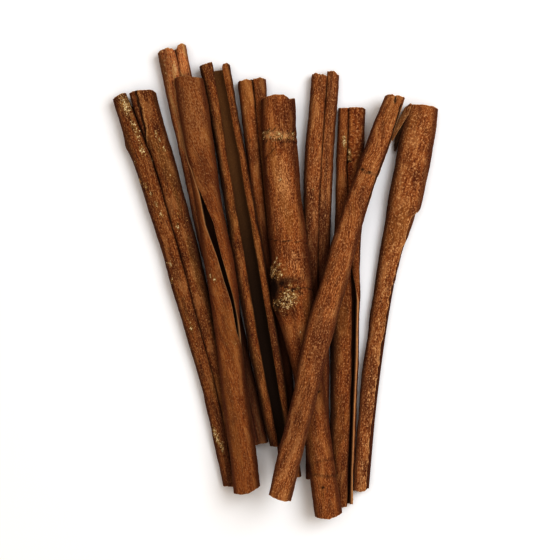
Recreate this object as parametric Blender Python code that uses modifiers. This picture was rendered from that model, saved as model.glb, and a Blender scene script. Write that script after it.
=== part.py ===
"""Stack of ten cinnamon sticks, lying across each other as they fell. Metres, +Z up.

A cinnamon stick is a strip of bark that rolled itself up while drying. So every stick
here starts as a flat grid, which a function rolls into a scroll along the stick's
centre line, and a Solidify modifier gives the strip the thickness of bark. Two kinds
of scroll occur: a double one, rolled in from both edges towards a seam on top, and a
single one, rolled from one edge only, which may be closed or split open.

The sticks run along Y, with the thick end at +Y. The origin is on the ground, under
the middle of the whole stack. Sizes are in millimetres, and MM scales them at the end.
"""

from bisect import bisect_right
from dataclasses import dataclass
from math import ceil, cos, radians, sin
from typing import Callable, NamedTuple

import bmesh
import bpy
from mathutils import Vector

MM = 0.001
BARK = 1.1              # thickness of the bark
THIN_BARK = 0.95        # thickness of the bark of the slimmer sticks
LAYER_GAP = 0.28        # air between two layers of one scroll
CORE_AIR = 0.3          # smallest radius of the hollow in the middle of a roll
ROLL_STEP = 30.0        # degrees that one column of the strip turns through
WEB_COLUMNS = 2         # columns in the flat web between two rolls
BARK_ROUGHNESS = 0.85
MIDDLE = (-0.3, -0.2)   # middle of the stack's outline, where the origin is put


class Station(NamedTuple):
    """Centre line, height of the underside and width of a stick at one place."""

    x: float
    y: float
    lift: float
    width: float


def interpolate(pairs: tuple, y: float) -> float:
    """Read a value off (y, value) pairs that run from high y to low y."""
    for (high, first), (low, last) in zip(pairs, pairs[1:]):
        if y >= low:
            return first + (last - first) * max(0.0, high - y) / (high - low)
    return pairs[-1][1]


def stretch(values: list, low: float, high: float) -> list:
    """Spread the values evenly so that they run from low to high."""
    scale = (high - low) / (max(values) - min(values))
    return [low + (value - min(values)) * scale for value in values]


@dataclass(frozen=True)
class DoubleScroll:
    """Bark rolled in from both edges, seam on top, standing on its flat web."""

    left_share: float = 0.5             # of the width that the two rolls take up
    left_turns: float = 1.0
    right_turns: float = 1.0
    mouth: tuple = ((0.0, 0.3),)        # (y, gap between the two rolls)

    def columns(self) -> int:
        """Count the strip's columns."""
        return roll_columns(self.left_turns) + WEB_COLUMNS + roll_columns(self.right_turns)

    def section(self, width: float, y: float, bark: float) -> list:
        """Return the middle line of the bark across the stick, from edge to edge."""
        rolls = width - interpolate(self.mouth, y)
        left = roll(rolls * self.left_share, bark, self.left_turns)
        right = roll(rolls * (1 - self.left_share), bark, self.right_turns)
        left_side = [(-width / 2 + across, height) for across, height in reversed(left)]
        right_side = [(width / 2 - across, height) for across, height in right]
        web = right_side[0][0] - left_side[-1][0]
        shares = [column / WEB_COLUMNS for column in range(1, WEB_COLUMNS)]
        middle = [(left_side[-1][0] + web * share, bark / 2) for share in shares]
        return left_side + middle + right_side


@dataclass(frozen=True)
class SingleScroll:
    """Bark rolled up from one edge, its free edge lying at an angle round the stick.

    Seen from the thin end, 0 degrees is the right side, 90 the top and 180 the left
    side. The bark runs inwards from its free edge with rising angle.
    """

    turns: float
    flatness: float                     # height as a share of the width
    free_edge: tuple                    # (y, angle)
    step: float = ROLL_STEP

    def columns(self) -> int:
        """Count the strip's columns."""
        return ceil(self.turns * 360 / self.step)

    def section(self, width: float, y: float, bark: float) -> list:
        """Return the middle line of the bark across the stick, free edge to core."""
        half_width = (width - bark) / 2
        half_height = (width * self.flatness - bark) / 2
        start = interpolate(self.free_edge, y)
        acrosses = []
        heights = []
        for column in range(self.columns() + 1):
            turned = self.turns * column / self.columns()
            shrink = (bark + LAYER_GAP) * turned
            angle = radians(start + 360 * turned)
            acrosses.append((half_width - shrink) * cos(angle))
            heights.append((half_height - shrink) * sin(angle))
        acrosses = stretch(acrosses, -half_width, half_width)
        heights = stretch(heights, bark / 2, bark / 2 + 2 * half_height)
        return list(zip(acrosses, heights))


@dataclass(frozen=True)
class Stick:
    """One cinnamon stick: its name, scroll, course and colour."""

    name: str
    scroll: object
    course: tuple                       # stations from the thick end to the thin end
    colour: tuple                       # linear red, green, blue
    rows: int = 8                       # rows of the strip along the stick
    bark: float = BARK
    cuts: tuple = (0.0, 0.0)            # how far the right side outruns the left, per end
    torn: tuple = (0, 0.0)              # (columns lost from the free edge, below this y)


def roll_columns(turns: float) -> int:
    """Count the columns that a roll of this many turns takes."""
    return round(turns * 360 / ROLL_STEP)


def roll(width: float, bark: float, turns: float) -> list:
    """Roll one edge of a double scroll inwards, up from the web and round.

    Args:
        width: Outer width of the roll.
        bark: Thickness of the bark.
        turns: How often the bark goes round. A narrow roll stops at its core.

    Returns:
        Points from the web to the edge: distance in from the outer side, and height.
    """
    pitch = bark + LAYER_GAP
    radius = (width + LAYER_GAP) / 2
    room = (radius - bark / 2 - CORE_AIR) / pitch
    centre = radius - pitch / 4 + bark / 2
    points = []
    for column in range(roll_columns(turns) + 1):
        turned = min(turns, room) * column / roll_columns(turns)
        reach = radius - pitch * turned
        angle = radians(360 * turned)
        points.append((centre - reach * sin(angle), bark / 2 + radius - reach * cos(angle)))
    return points


def smooth_course(course: tuple) -> Callable:
    """Return a function of a share of the length that runs smoothly through stations."""
    spots = [Vector(station) for station in course]
    runs = [0.0]
    for spot, following in zip(spots, spots[1:]):
        runs.append(runs[-1] + (following.xy - spot.xy).length)
    slopes = []
    for i in range(len(spots)):
        before = max(0, i - 1)
        after = min(len(spots) - 1, i + 1)
        slopes.append((spots[after] - spots[before]) / (runs[after] - runs[before]))

    def at(share: float) -> Vector:
        """Hermite curve from the station before this share to the one after it."""
        run = share * runs[-1]
        i = min(max(bisect_right(runs, run) - 1, 0), len(spots) - 2)
        span = runs[i + 1] - runs[i]
        t = (run - runs[i]) / span
        return (
            spots[i] * (2 * t ** 3 - 3 * t ** 2 + 1)
            + slopes[i] * span * (t ** 3 - 2 * t ** 2 + t)
            + spots[i + 1] * (3 * t ** 2 - 2 * t ** 3)
            + slopes[i + 1] * span * (t ** 3 - t ** 2)
        )

    return at


def rolled_sheet(stick: Stick) -> bmesh.types.BMesh:
    """Make the strip of bark as a flat grid and roll it along the stick's course."""
    columns = stick.scroll.columns()
    at = smooth_course(stick.course)
    sheet = bmesh.new()
    bmesh.ops.create_grid(sheet, x_segments=columns, y_segments=stick.rows, size=0.5)
    lost_columns, tear = stick.torn
    lost = [
        face for face in sheet.faces
        if (face.calc_center_median().x + 0.5) * columns < lost_columns
        and at(face.calc_center_median().y + 0.5).y < tear
    ]
    bmesh.ops.delete(sheet, geom=lost, context="FACES")
    for vertex in sheet.verts:
        column = round((vertex.co.x + 0.5) * columns)
        row = round((vertex.co.y + 0.5) * stick.rows)
        spot = at(row / stick.rows)
        ahead = (at((row + 0.5) / stick.rows) - at((row - 0.5) / stick.rows)).xyz.normalized()
        side = Vector((-ahead.y, ahead.x, 0.0)).normalized()
        up = ahead.cross(side)
        across, height = stick.scroll.section(spot.w, spot.y, stick.bark)[column]
        cut = {0: -stick.cuts[0], stick.rows: stick.cuts[1]}.get(row, 0.0)
        place = spot.xyz + side * across + up * height + ahead * cut * across / spot.w
        vertex.co = (place - Vector((*MIDDLE, 0.0))) * MM
    return sheet


def bark_material(stick: Stick) -> bpy.types.Material:
    """Make the stick's own matt bark material."""
    material = bpy.data.materials.new(stick.name + "_bark")
    material.use_nodes = True
    shader = material.node_tree.nodes["Principled BSDF"]
    shader.inputs["Base Color"].default_value = (*stick.colour, 1.0)
    shader.inputs["Roughness"].default_value = BARK_ROUGHNESS
    shader.inputs["Metallic"].default_value = 0.0
    return material


def build_stick(stick: Stick, collection: bpy.types.Collection) -> None:
    """Add one stick to the collection: the rolled strip and its thickness."""
    sheet = rolled_sheet(stick)
    mesh = bpy.data.meshes.new(stick.name)
    sheet.to_mesh(mesh)
    sheet.free()
    mesh.shade_smooth()
    mesh.materials.append(bark_material(stick))
    item = bpy.data.objects.new(stick.name, mesh)
    thickness = item.modifiers.new("bark_thickness", "SOLIDIFY")
    thickness.thickness = stick.bark * MM
    thickness.offset = 0.0
    thickness.use_even_offset = True
    collection.objects.link(item)


STICKS = (
    # Big double scroll on the left, its rolls parting at the thick end.
    Stick(
        name="far_left_double_quill",
        scroll=DoubleScroll(left_share=0.46, mouth=((68.0, 1.6), (20.0, 0.4))),
        course=(
            Station(-51.0, 67.5, 0.0, 15.3),
            Station(-44.3, 44.2, 0.0, 14.7),
            Station(-38.1, 24.3, 0.0, 13.5),
            Station(-29.1, -8.7, 0.0, 12.1),
            Station(-20.5, -41.3, 0.0, 10.4),
            Station(-14.3, -73.4, 0.0, 9.2),
        ),
        colour=(0.127, 0.044, 0.016),
        cuts=(-2.9, 0.0),
    ),
    # Slim double scroll that mostly lies under the split quill.
    Stick(
        name="back_left_double_quill",
        scroll=DoubleScroll(left_share=0.56),
        course=(
            Station(-37.4, 83.2, 0.0, 10.4),
            Station(-25.1, 23.9, 0.0, 9.6),
            Station(-6.7, -59.0, 0.0, 8.0),
        ),
        colour=(0.109, 0.032, 0.013),
        bark=THIN_BARK,
    ),
    # Single scroll whose edges don't meet: the slot twists from left to right.
    Stick(
        name="wide_split_quill",
        scroll=SingleScroll(
            turns=0.9,
            flatness=0.66,
            free_edge=((74.0, 235.0), (33.0, 165.0), (22.0, 114.0), (-3.0, 62.0),
                       (-23.0, 8.0), (-76.0, -45.0)),
            step=24.0,
        ),
        course=(
            Station(-31.1, 72.7, 5.4, 10.1),
            Station(-28.4, 55.1, 5.45, 11.2),
            Station(-23.8, 26.6, 5.5, 9.2),
            Station(-19.1, 0.0, 5.65, 10.3),
            Station(-16.5, -22.8, 5.75, 9.2),
            Station(-10.2, -74.4, 6.15, 9.5),
        ),
        colour=(0.156, 0.058, 0.018),
        rows=13,
        cuts=(-1.3, -2.5),
    ),
    # Wide open double scroll with a deep channel between its rolls.
    Stick(
        name="open_channel_quill",
        scroll=DoubleScroll(left_share=0.53, right_turns=0.6, mouth=((78.0, 2.2), (-59.0, 1.6))),
        course=(
            Station(-22.0, 77.2, 1.4, 10.9),
            Station(-17.9, 55.2, 2.4, 10.3),
            Station(-13.9, 32.3, 3.65, 10.5),
            Station(-8.7, 3.0, 5.15, 11.0),
            Station(-2.6, -32.7, 5.25, 10.6),
            Station(2.1, -58.3, 5.1, 8.5),
        ),
        colour=(0.127, 0.042, 0.014),
        rows=9,
        bark=THIN_BARK,
        cuts=(-1.3, 0.0),
    ),
    # Slim double scroll under the open one and the knotted one.
    Stick(
        name="centre_back_double_quill",
        scroll=DoubleScroll(left_share=0.55),
        course=(
            Station(-8.7, 72.7, 0.0, 9.8),
            Station(-2.3, 7.0, 0.0, 8.6),
            Station(5.4, -70.7, 0.0, 7.6),
        ),
        colour=(0.187, 0.073, 0.023),
        bark=THIN_BARK,
    ),
    # Thick closed quill, bent and swollen at a knot.
    Stick(
        name="knotted_centre_quill",
        scroll=SingleScroll(turns=1.25, flatness=0.68, free_edge=((66.0, -40.0),)),
        course=(
            Station(0.7, 65.4, 3.7, 11.8),
            Station(1.3, 49.3, 3.9, 12.6),
            Station(2.9, 29.6, 4.3, 12.5),
            Station(5.3, 7.4, 5.0, 13.4),
            Station(5.7, -3.5, 5.2, 14.9),
            Station(8.2, -16.0, 5.35, 12.7),
            Station(11.7, -34.5, 5.4, 10.5),
            Station(15.0, -57.2, 5.3, 9.5),
            Station(18.9, -84.0, 5.2, 9.5),
        ),
        colour=(0.187, 0.073, 0.023),
        rows=13,
    ),
    # Slim double scroll with a ragged thick end, partly under the knotted quill.
    Stick(
        name="centre_right_double_quill",
        scroll=DoubleScroll(left_share=0.55),
        course=(
            Station(17.7, 74.1, 0.0, 9.7),
            Station(15.1, 34.3, 0.0, 10.2),
            Station(14.3, 0.0, 0.0, 9.6),
            Station(15.0, -71.2, 0.0, 8.4),
        ),
        colour=(0.209, 0.082, 0.026),
        bark=THIN_BARK,
    ),
    # Slim double scroll with a clean thick end.
    Stick(
        name="right_back_double_quill",
        scroll=DoubleScroll(left_share=0.42),
        course=(
            Station(27.3, 62.2, 0.0, 9.7),
            Station(25.6, 10.0, 0.0, 9.5),
            Station(24.9, -29.9, 0.0, 9.0),
            Station(23.8, -81.0, 0.0, 7.3),
        ),
        colour=(0.187, 0.073, 0.023),
        bark=THIN_BARK,
        cuts=(0.0, -1.2),
    ),
    # Long closed quill that lies across the others on top.
    Stick(
        name="top_diagonal_quill",
        scroll=SingleScroll(turns=1.3, flatness=0.8, free_edge=((65.0, 20.0), (30.0, -30.0))),
        course=(
            Station(42.1, 64.7, 5.5, 7.1),
            Station(36.3, 48.8, 6.85, 8.1),
            Station(27.3, 23.5, 9.0, 8.2),
            Station(20.5, 0.0, 11.0, 9.2),
            Station(15.5, -16.5, 12.5, 9.9),
            Station(11.1, -36.1, 14.1, 8.8),
            Station(1.3, -75.9, 17.4, 8.0),
        ),
        colour=(0.199, 0.074, 0.024),
        rows=9,
        bark=THIN_BARK,
        cuts=(0.0, 0.4),
    ),
    # Tapered closed quill on the right, its outer wrap torn off on the lower part.
    Stick(
        name="right_torn_quill",
        scroll=SingleScroll(turns=1.5, flatness=0.62, free_edge=((63.0, -60.0),)),
        course=(
            Station(52.9, 62.4, 0.0, 10.5),
            Station(50.1, 48.7, 0.0, 12.2),
            Station(45.4, 24.3, 0.0, 11.3),
            Station(41.2, 8.0, 0.0, 8.4),
            Station(37.3, -14.0, 0.0, 7.4),
            Station(33.3, -44.9, 0.0, 7.0),
            Station(30.9, -75.4, 0.0, 6.2),
        ),
        colour=(0.242, 0.098, 0.032),
        rows=11,
        bark=THIN_BARK,
        torn=(3, 24.0),
    ),
)


def main() -> None:
    """Clear the scene and build every stick in the stack's collection."""
    for item in list(bpy.data.objects):
        bpy.data.objects.remove(item, do_unlink=True)
    collection = bpy.data.collections.new("cinnamon_stick_stack")
    bpy.context.scene.collection.children.link(collection)
    for stick in STICKS:
        build_stick(stick, collection)


main()
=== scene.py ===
"""Dresses the stack of ten cinnamon sticks: rolled bark with its grain, scars and lichen.

Every stick is one strip of bark. The strip starts flat, as it did on the tree, with its
marks laid on it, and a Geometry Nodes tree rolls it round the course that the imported
model gives, roughens it and gives it the thickness of bark. Sizes are in millimetres
unless a name ends in _m, and MM turns them into metres.
"""

from __future__ import annotations

import logging
from dataclasses import dataclass, field
from enum import Enum
from math import radians
from typing import Any, Sequence

import bpy
import numpy as np
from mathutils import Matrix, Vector
from mathutils.bvhtree import BVHTree

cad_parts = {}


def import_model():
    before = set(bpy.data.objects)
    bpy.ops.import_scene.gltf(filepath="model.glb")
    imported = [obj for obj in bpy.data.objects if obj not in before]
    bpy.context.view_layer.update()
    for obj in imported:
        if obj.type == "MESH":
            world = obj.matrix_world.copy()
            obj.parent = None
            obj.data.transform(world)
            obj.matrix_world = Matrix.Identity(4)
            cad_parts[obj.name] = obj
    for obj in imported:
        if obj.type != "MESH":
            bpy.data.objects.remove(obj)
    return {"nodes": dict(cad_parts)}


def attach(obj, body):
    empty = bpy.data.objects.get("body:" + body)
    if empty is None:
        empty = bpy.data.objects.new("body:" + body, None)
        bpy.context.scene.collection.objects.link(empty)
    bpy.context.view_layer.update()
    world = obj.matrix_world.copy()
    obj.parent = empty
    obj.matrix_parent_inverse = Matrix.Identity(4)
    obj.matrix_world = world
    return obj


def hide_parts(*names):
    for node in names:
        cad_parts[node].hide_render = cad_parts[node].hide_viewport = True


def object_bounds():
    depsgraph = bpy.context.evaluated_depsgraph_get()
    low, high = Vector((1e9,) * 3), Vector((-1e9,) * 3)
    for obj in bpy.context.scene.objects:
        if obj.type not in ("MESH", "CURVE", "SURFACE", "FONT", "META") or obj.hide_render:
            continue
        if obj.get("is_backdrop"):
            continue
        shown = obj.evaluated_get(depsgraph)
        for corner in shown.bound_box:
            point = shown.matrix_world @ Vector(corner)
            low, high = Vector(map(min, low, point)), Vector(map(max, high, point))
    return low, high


LOG = logging.getLogger("cinnamon_sticks")
MM = 0.001
LAYER_GAP = 0.28        # air between two layers of one roll
CORE_AIR = 0.3          # smallest hollow in the middle of a roll
ROW_STEP = 0.7          # between two rows of a strip
END_STEP = 0.35         # between two rows close to an end
END_ROWS = 8            # rows that stand that close
FINE_TURN = 7.0         # degrees between columns where the bark shows
COARSE_TURN = 15.0      # degrees between columns inside a roll
SHOWN_TURN = 0.66       # share of a turn that shows on a double roll
WEB_COLUMNS = 5         # columns of the flat web between two rolls
Path = tuple[tuple[float, float], ...]      # (place, value) pairs


# ---------------------------------------------------------------- small helpers


def linear(hex_colour: str) -> tuple[float, float, float, float]:
    """Turn an sRGB hex colour such as "7a4824" into linear red, green, blue and alpha."""
    parts = [int(hex_colour[i:i + 2], 16) / 255 for i in (0, 2, 4)]
    return (*[p / 12.92 if p <= 0.04045 else ((p + 0.055) / 1.055) ** 2.4 for p in parts], 1.0)


def add(
    tree: bpy.types.NodeTree,
    kind: str,
    settings: dict[str, Any] | None = None,
    inputs: dict[str | int, Any] | None = None,
) -> bpy.types.Node:
    """Add a node to a tree, with its settings and its inputs.

    Args:
        tree: The node tree that gets the node.
        kind: Blender's name for the type of node.
        settings: The node's own settings by name.
        inputs: Values or the sockets to link, by the input's name or number.

    Returns:
        The new node.
    """
    node = tree.nodes.new(kind)
    for name, value in (settings or {}).items():
        setattr(node, name, value)
    for name, value in (inputs or {}).items():
        if isinstance(value, bpy.types.NodeSocket):
            tree.links.new(value, node.inputs[name])
        else:
            node.inputs[name].default_value = value
    return node


def soft_step(values: np.ndarray, low: float, high: float) -> np.ndarray:
    """Rise smoothly from 0 at low to 1 at high."""
    share = np.clip((values - low) / (high - low), 0.0, 1.0)
    return share * share * (3 - 2 * share)


def read_path(path: Path, places: np.ndarray) -> np.ndarray:
    """Read a (place, value) path at places, level before its first and past its last."""
    spots, values = zip(*sorted(path))
    return np.interp(places, spots, values)


def wander(places: np.ndarray, spacing: float, seed: int) -> np.ndarray:
    """Read a smooth random line at these places.

    Args:
        places: Where to read the line.
        spacing: Distance between two of its random values.
        seed: Fixes the line.

    Returns:
        Values from -1 to 1.
    """
    knots = np.random.default_rng(seed).uniform(-1.0, 1.0, 512)
    spot = np.asarray(places) / spacing + 100.0
    first = np.floor(spot).astype(int)
    share = spot - first
    share = share * share * (3 - 2 * share)
    return knots[first % 512] * (1 - share) + knots[(first + 1) % 512] * share


# ---------------------------------------------------------------- the course of a stick


@dataclass(frozen=True)
class Course:
    """Centre line, underside, width and height of a stick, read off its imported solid.

    The arrays run from the thick end to the thin end, one value for each step of run.
    """

    run: np.ndarray         # distance along the stick
    centre: np.ndarray      # x, y and height of the underside
    width: np.ndarray
    tall: np.ndarray
    slants: tuple[float, float]     # how far the ends lean forward, for each mm across

    @classmethod
    def read(cls, node: bpy.types.Object) -> Course:
        """Find the rings of vertices that the solid is made of and join them smoothly.

        Args:
            node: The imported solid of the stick.

        Returns:
            The course, sampled every quarter of a millimetre.
        """
        points = np.array([vertex.co for vertex in node.data.vertices]) / MM
        high, low = points[:, 1].max(), points[:, 1].min()
        first = points[points[:, 1] > high - 20].mean(axis=0)[:2]
        last = points[points[:, 1] < low + 20].mean(axis=0)[:2]
        ahead = (last - first) / np.linalg.norm(last - first)
        order = np.argsort(points[:, :2] @ ahead)
        points = points[order]
        gaps = np.flatnonzero(np.diff(points[:, :2] @ ahead) > 3.0) + 1
        rings = np.split(points, gaps)
        spots = np.array([cls._ring(ring, ahead)[:3] for ring in rings])
        headings = np.gradient(spots[:, :2], axis=0)
        headings /= np.linalg.norm(headings, axis=1)[:, None]
        rows = np.array([cls._ring(ring, way) for ring, way in zip(rings, headings)])
        steps = np.linalg.norm(np.diff(rows[:, :2], axis=0), axis=1)
        spans = np.concatenate(([0.0], np.cumsum(steps)))
        run = np.arange(0.0, spans[-1], 0.25)
        smooth = cls._hermite(spans, rows[:, :5], run)
        return cls(
            run=run,
            centre=smooth[:, :3],
            width=smooth[:, 3],
            tall=smooth[:, 4],
            slants=(rows[0, 5], rows[-1, 5]),
        )

    @staticmethod
    def _ring(ring: np.ndarray, ahead: np.ndarray) -> tuple[float, ...]:
        """Measure one ring: middle x and y, underside, width, height and slant."""
        side = np.array((-ahead[1], ahead[0]))
        across = ring[:, :2] @ side
        along = ring[:, :2] @ ahead
        slope, level = np.polyfit(across, along, 1)
        middle = (across.max() + across.min()) / 2
        x, y = side * middle + ahead * (slope * middle + level)
        bottom, top = ring[:, 2].min(), ring[:, 2].max()
        return x, y, bottom, across.max() - across.min(), top - bottom, slope

    @staticmethod
    def _hermite(spans: np.ndarray, rows: np.ndarray, run: np.ndarray) -> np.ndarray:
        """Run a smooth curve through the rows and read it at every run."""
        slopes = np.empty_like(rows)
        slopes[1:-1] = (rows[2:] - rows[:-2]) / (spans[2:] - spans[:-2])[:, None]
        slopes[0] = (rows[1] - rows[0]) / (spans[1] - spans[0])
        slopes[-1] = (rows[-1] - rows[-2]) / (spans[-1] - spans[-2])
        i = np.clip(np.searchsorted(spans, run, side="right") - 1, 0, len(spans) - 2)
        span = (spans[i + 1] - spans[i])[:, None]
        t = (run - spans[i])[:, None] / span
        return (
            rows[i] * (2 * t ** 3 - 3 * t ** 2 + 1)
            + slopes[i] * span * (t ** 3 - 2 * t ** 2 + t)
            + rows[i + 1] * (3 * t ** 2 - 2 * t ** 3)
            + slopes[i + 1] * span * (t ** 3 - t ** 2)
        )

    def length(self) -> float:
        """Length of the centre line."""
        return float(self.run[-1])

    def read_at(self, values: np.ndarray, along: np.ndarray) -> np.ndarray:
        """Read one of the course's arrays at distances along, straight on past the ends."""
        inside = np.interp(along, self.run, values)
        start = (values[8] - values[0]) / (self.run[8] - self.run[0])
        end = (values[-1] - values[-9]) / (self.run[-1] - self.run[-9])
        past = np.maximum(along - self.run[-1], 0.0)
        return inside + np.minimum(along - self.run[0], 0.0) * start + past * end

    def centre_at(self, along: np.ndarray) -> np.ndarray:
        """Read the centre line's points at distances along."""
        return np.stack([self.read_at(self.centre[:, i], along) for i in range(3)], axis=-1)

    def frame_at(self, along: np.ndarray) -> tuple[np.ndarray, np.ndarray, np.ndarray]:
        """Find the directions ahead, to the side and up at distances along."""
        ahead = self.centre_at(along + 2.0) - self.centre_at(along - 2.0)
        ahead /= np.linalg.norm(ahead, axis=-1, keepdims=True)
        side = np.stack((-ahead[..., 1], ahead[..., 0], np.zeros_like(along)), axis=-1)
        side /= np.linalg.norm(side, axis=-1, keepdims=True)
        return ahead, side, np.cross(ahead, side)


class Shelter:
    """How far the other sticks close off the sky, where the bark gets painted shade."""

    RAYS = 16
    REACH_M = 0.03

    def __init__(self, nodes: dict[str, bpy.types.Object]) -> None:
        """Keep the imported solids' meshes and spread the rays over the sky."""
        self.meshes = {
            name: ([vertex.co.copy() for vertex in node.data.vertices],
                   [tuple(face.vertices) for face in node.data.polygons])
            for name, node in nodes.items() if node.type == "MESH"
        }
        shares = (np.arange(self.RAYS) + 0.5) / self.RAYS
        turns = np.arange(self.RAYS) * radians(137.5)
        self.ways = [
            Vector((np.sqrt(u) * np.cos(t), np.sqrt(u) * np.sin(t), np.sqrt(1 - u)))
            for u, t in zip(shares, turns)
        ]

    def over(self, name: str, spots: np.ndarray) -> np.ndarray:
        """Find the share of the sky that the other sticks hide.

        Args:
            name: The stick that the spots lie on.
            spots: Points in metres, rows by columns by 3.

        Returns:
            The hidden share, rows by columns.
        """
        corners: list[Vector] = []
        faces: list[tuple[int, ...]] = []
        for other, (vertices, rings) in self.meshes.items():
            if other != name:
                faces += [tuple(i + len(corners) for i in ring) for ring in rings]
                corners += vertices
        solid = BVHTree.FromPolygons(corners, faces)
        hidden = np.zeros(spots.shape[:2])
        for index in np.ndindex(hidden.shape):
            start = Vector(spots[index])
            hits = sum(solid.ray_cast(start, way, self.REACH_M)[0] is not None
                       for way in self.ways)
            hidden[index] = hits / self.RAYS
        return hidden


# ---------------------------------------------------------------- the flat strip


class Part(Enum):
    """Part of a strip that a mark lies on."""

    WHOLE = 0
    LEFT = 1
    RIGHT = 2
    WEB = 3


class Coat(Enum):
    """What a mark adds to the bark; its value is the name of the strip's array."""

    LICHEN = "lichen"
    WORN = "worn"
    # Stains, cracks and holes; long patches of it along some sticks are painted shade.
    DARK = "dark"
    RELIEF = "relief"


@dataclass
class Strip:
    """A flat strip of bark: one value for each point of its grid, rows by columns."""

    along: np.ndarray           # from the thick end
    arc: np.ndarray             # across the strip
    part: np.ndarray            # number of the Part, for each column
    turned: np.ndarray          # turns rolled up so far
    angle: np.ndarray           # degrees round the roll
    reach_across: np.ndarray    # radius before the layers below take their share
    reach_up: np.ndarray
    axis: np.ndarray            # middle of the roll
    side_way: np.ndarray        # direction across
    up_way: np.ndarray
    lost: np.ndarray            # turns torn off the outside
    coats: dict[Coat, np.ndarray] = field(default_factory=dict)
    occlusion_shade: np.ndarray | None = None     # share of the sky hidden by other sticks

    def __post_init__(self) -> None:
        """Start with no marks."""
        self.coats = {coat: np.zeros_like(self.along) for coat in Coat}
        self.occlusion_shade = np.zeros_like(self.along)

    def shelter(self, name: str, pitch: float, shelter: Shelter) -> None:
        """Find how much of the sky the other sticks hide, on every third row."""
        turn = np.radians(self.angle)
        across = (self.reach_across - pitch * self.turned) * np.cos(turn)
        up = (self.reach_up - pitch * self.turned) * np.sin(turn)
        spots = self.axis + self.side_way * across[..., None] + self.up_way * up[..., None]
        rows = np.arange(0, len(spots), 3)
        hidden = shelter.over(name, spots[rows] * MM)
        places = np.arange(len(spots))
        for column in range(hidden.shape[1]):
            self.occlusion_shade[:, column] = np.interp(places, rows, hidden[:, column])

    def seen(self, part: Part) -> np.ndarray:
        """Pick the points that lie on a part and aren't rolled in under another layer."""
        own = np.ones_like(self.part, bool) if part is Part.WHOLE else self.part == part.value
        return own[None, :] & (self.turned - self.lost < 0.97)

    def from_spot(self, part: Part, along: float, angle: float) -> tuple[np.ndarray, np.ndarray]:
        """Measure how far every point is from a spot, along the stick and round it."""
        turn = (self.angle - angle + 180.0) % 360.0 - 180.0
        radius = (self.reach_across + self.reach_up) / 2
        around = np.where(self.seen(part), radians(1.0) * turn * radius, 1e3)
        return self.along - along, around

    def lay(self, coat: Coat, amount: np.ndarray) -> None:
        """Add a mark: heights add up, and of two stains the stronger one stays."""
        if coat is Coat.RELIEF:
            self.coats[coat] += amount
        else:
            self.coats[coat] = np.maximum(self.coats[coat], amount)

    def piece(self, name: str, seed: float) -> bpy.types.Object:
        """Make the flat strip a mesh object that carries all that the roller reads.

        Args:
            name: Name of the object.
            seed: Sets the strip's pattern apart from those of the others.

        Returns:
            The object, not rolled yet.
        """
        rows, columns = self.along.shape
        places = np.stack((self.arc * MM, -self.along * MM, np.zeros_like(self.arc)), axis=-1)
        index = np.arange(rows * columns).reshape(rows, columns)
        corners = (index[:-1, :-1], index[:-1, 1:], index[1:, 1:], index[1:, :-1])
        faces = np.stack(corners, axis=-1).reshape(-1, 4)
        there = self.turned > self.lost
        faces = faces[(there[:-1, 1:] & there[1:, 1:]).ravel() | ~self.lost.any()]
        used, renumbered = np.unique(faces, return_inverse=True)
        faces = renumbered.reshape(-1, 4)
        mesh = bpy.data.meshes.new(name + "_flat")
        mesh.from_pydata(places.reshape(-1, 3)[used].tolist(), [], faces.tolist())
        edges = np.sort(np.concatenate([faces[:, [i, (i + 1) % 4]] for i in range(4)]), axis=1)
        pairs, counts = np.unique(edges, axis=0, return_counts=True)
        rim = np.zeros(rows * columns)
        rim[used[pairs[counts == 1].ravel()]] = 1.0
        angle = np.radians(self.angle)
        # Painted shade: 0 on the top of each roll, rising to 1 at its sides and on its underside.
        flank_shade = np.where(np.sin(angle) > 0, soft_step(np.abs(np.cos(angle)), 0.5, 1.0), 1.0)
        marks = [self.coats[coat] for coat in (Coat.LICHEN, Coat.WORN, Coat.DARK)]
        values = {
            "turned": self.turned,
            "angle": angle,
            "reach_across": self.reach_across * MM,
            "reach_up": self.reach_up * MM,
            "relief": self.coats[Coat.RELIEF] * MM,
            "flank_shade": flank_shade,
            "occlusion_shade": self.occlusion_shade,
            "rim": rim.reshape(rows, columns),
            "axis": self.axis * MM,
            "side_way": self.side_way,
            "up_way": self.up_way,
            "strip": np.stack((self.along, self.arc, np.full_like(self.arc, seed * 7.3)), axis=-1),
            "marks": np.stack(marks, axis=-1),
        }
        for label, value in values.items():
            wide = value.ndim == 3
            shaped = value.reshape(rows * columns, -1)[used].astype(np.float32)
            kind = "FLOAT_VECTOR" if wide else "FLOAT"
            attribute = mesh.attributes.new(label, kind, "POINT")
            attribute.data.foreach_set("vector" if wide else "value", shaped.ravel())
        piece = bpy.data.objects.new(name, mesh)
        bpy.context.scene.collection.objects.link(piece)
        return piece


@dataclass(frozen=True)
class Patch:
    """An oval patch of lichen, wear, stain or painted shade, or a low swelling."""

    coat: Coat
    along: float
    angle: float
    length: float
    width: float
    amount: float = 1.0
    part: Part = Part.WHOLE
    lean: float = 0.0       # mm round for each mm along

    def mark(self, strip: Strip) -> None:
        """Lay the patch on the strip."""
        ahead, around = strip.from_spot(self.part, self.along, self.angle)
        around = around - ahead * self.lean
        spread = (2 * ahead / self.length) ** 2 + (2 * around / self.width) ** 2
        strip.lay(self.coat, self.amount * np.exp(-spread * 1.2))


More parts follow.
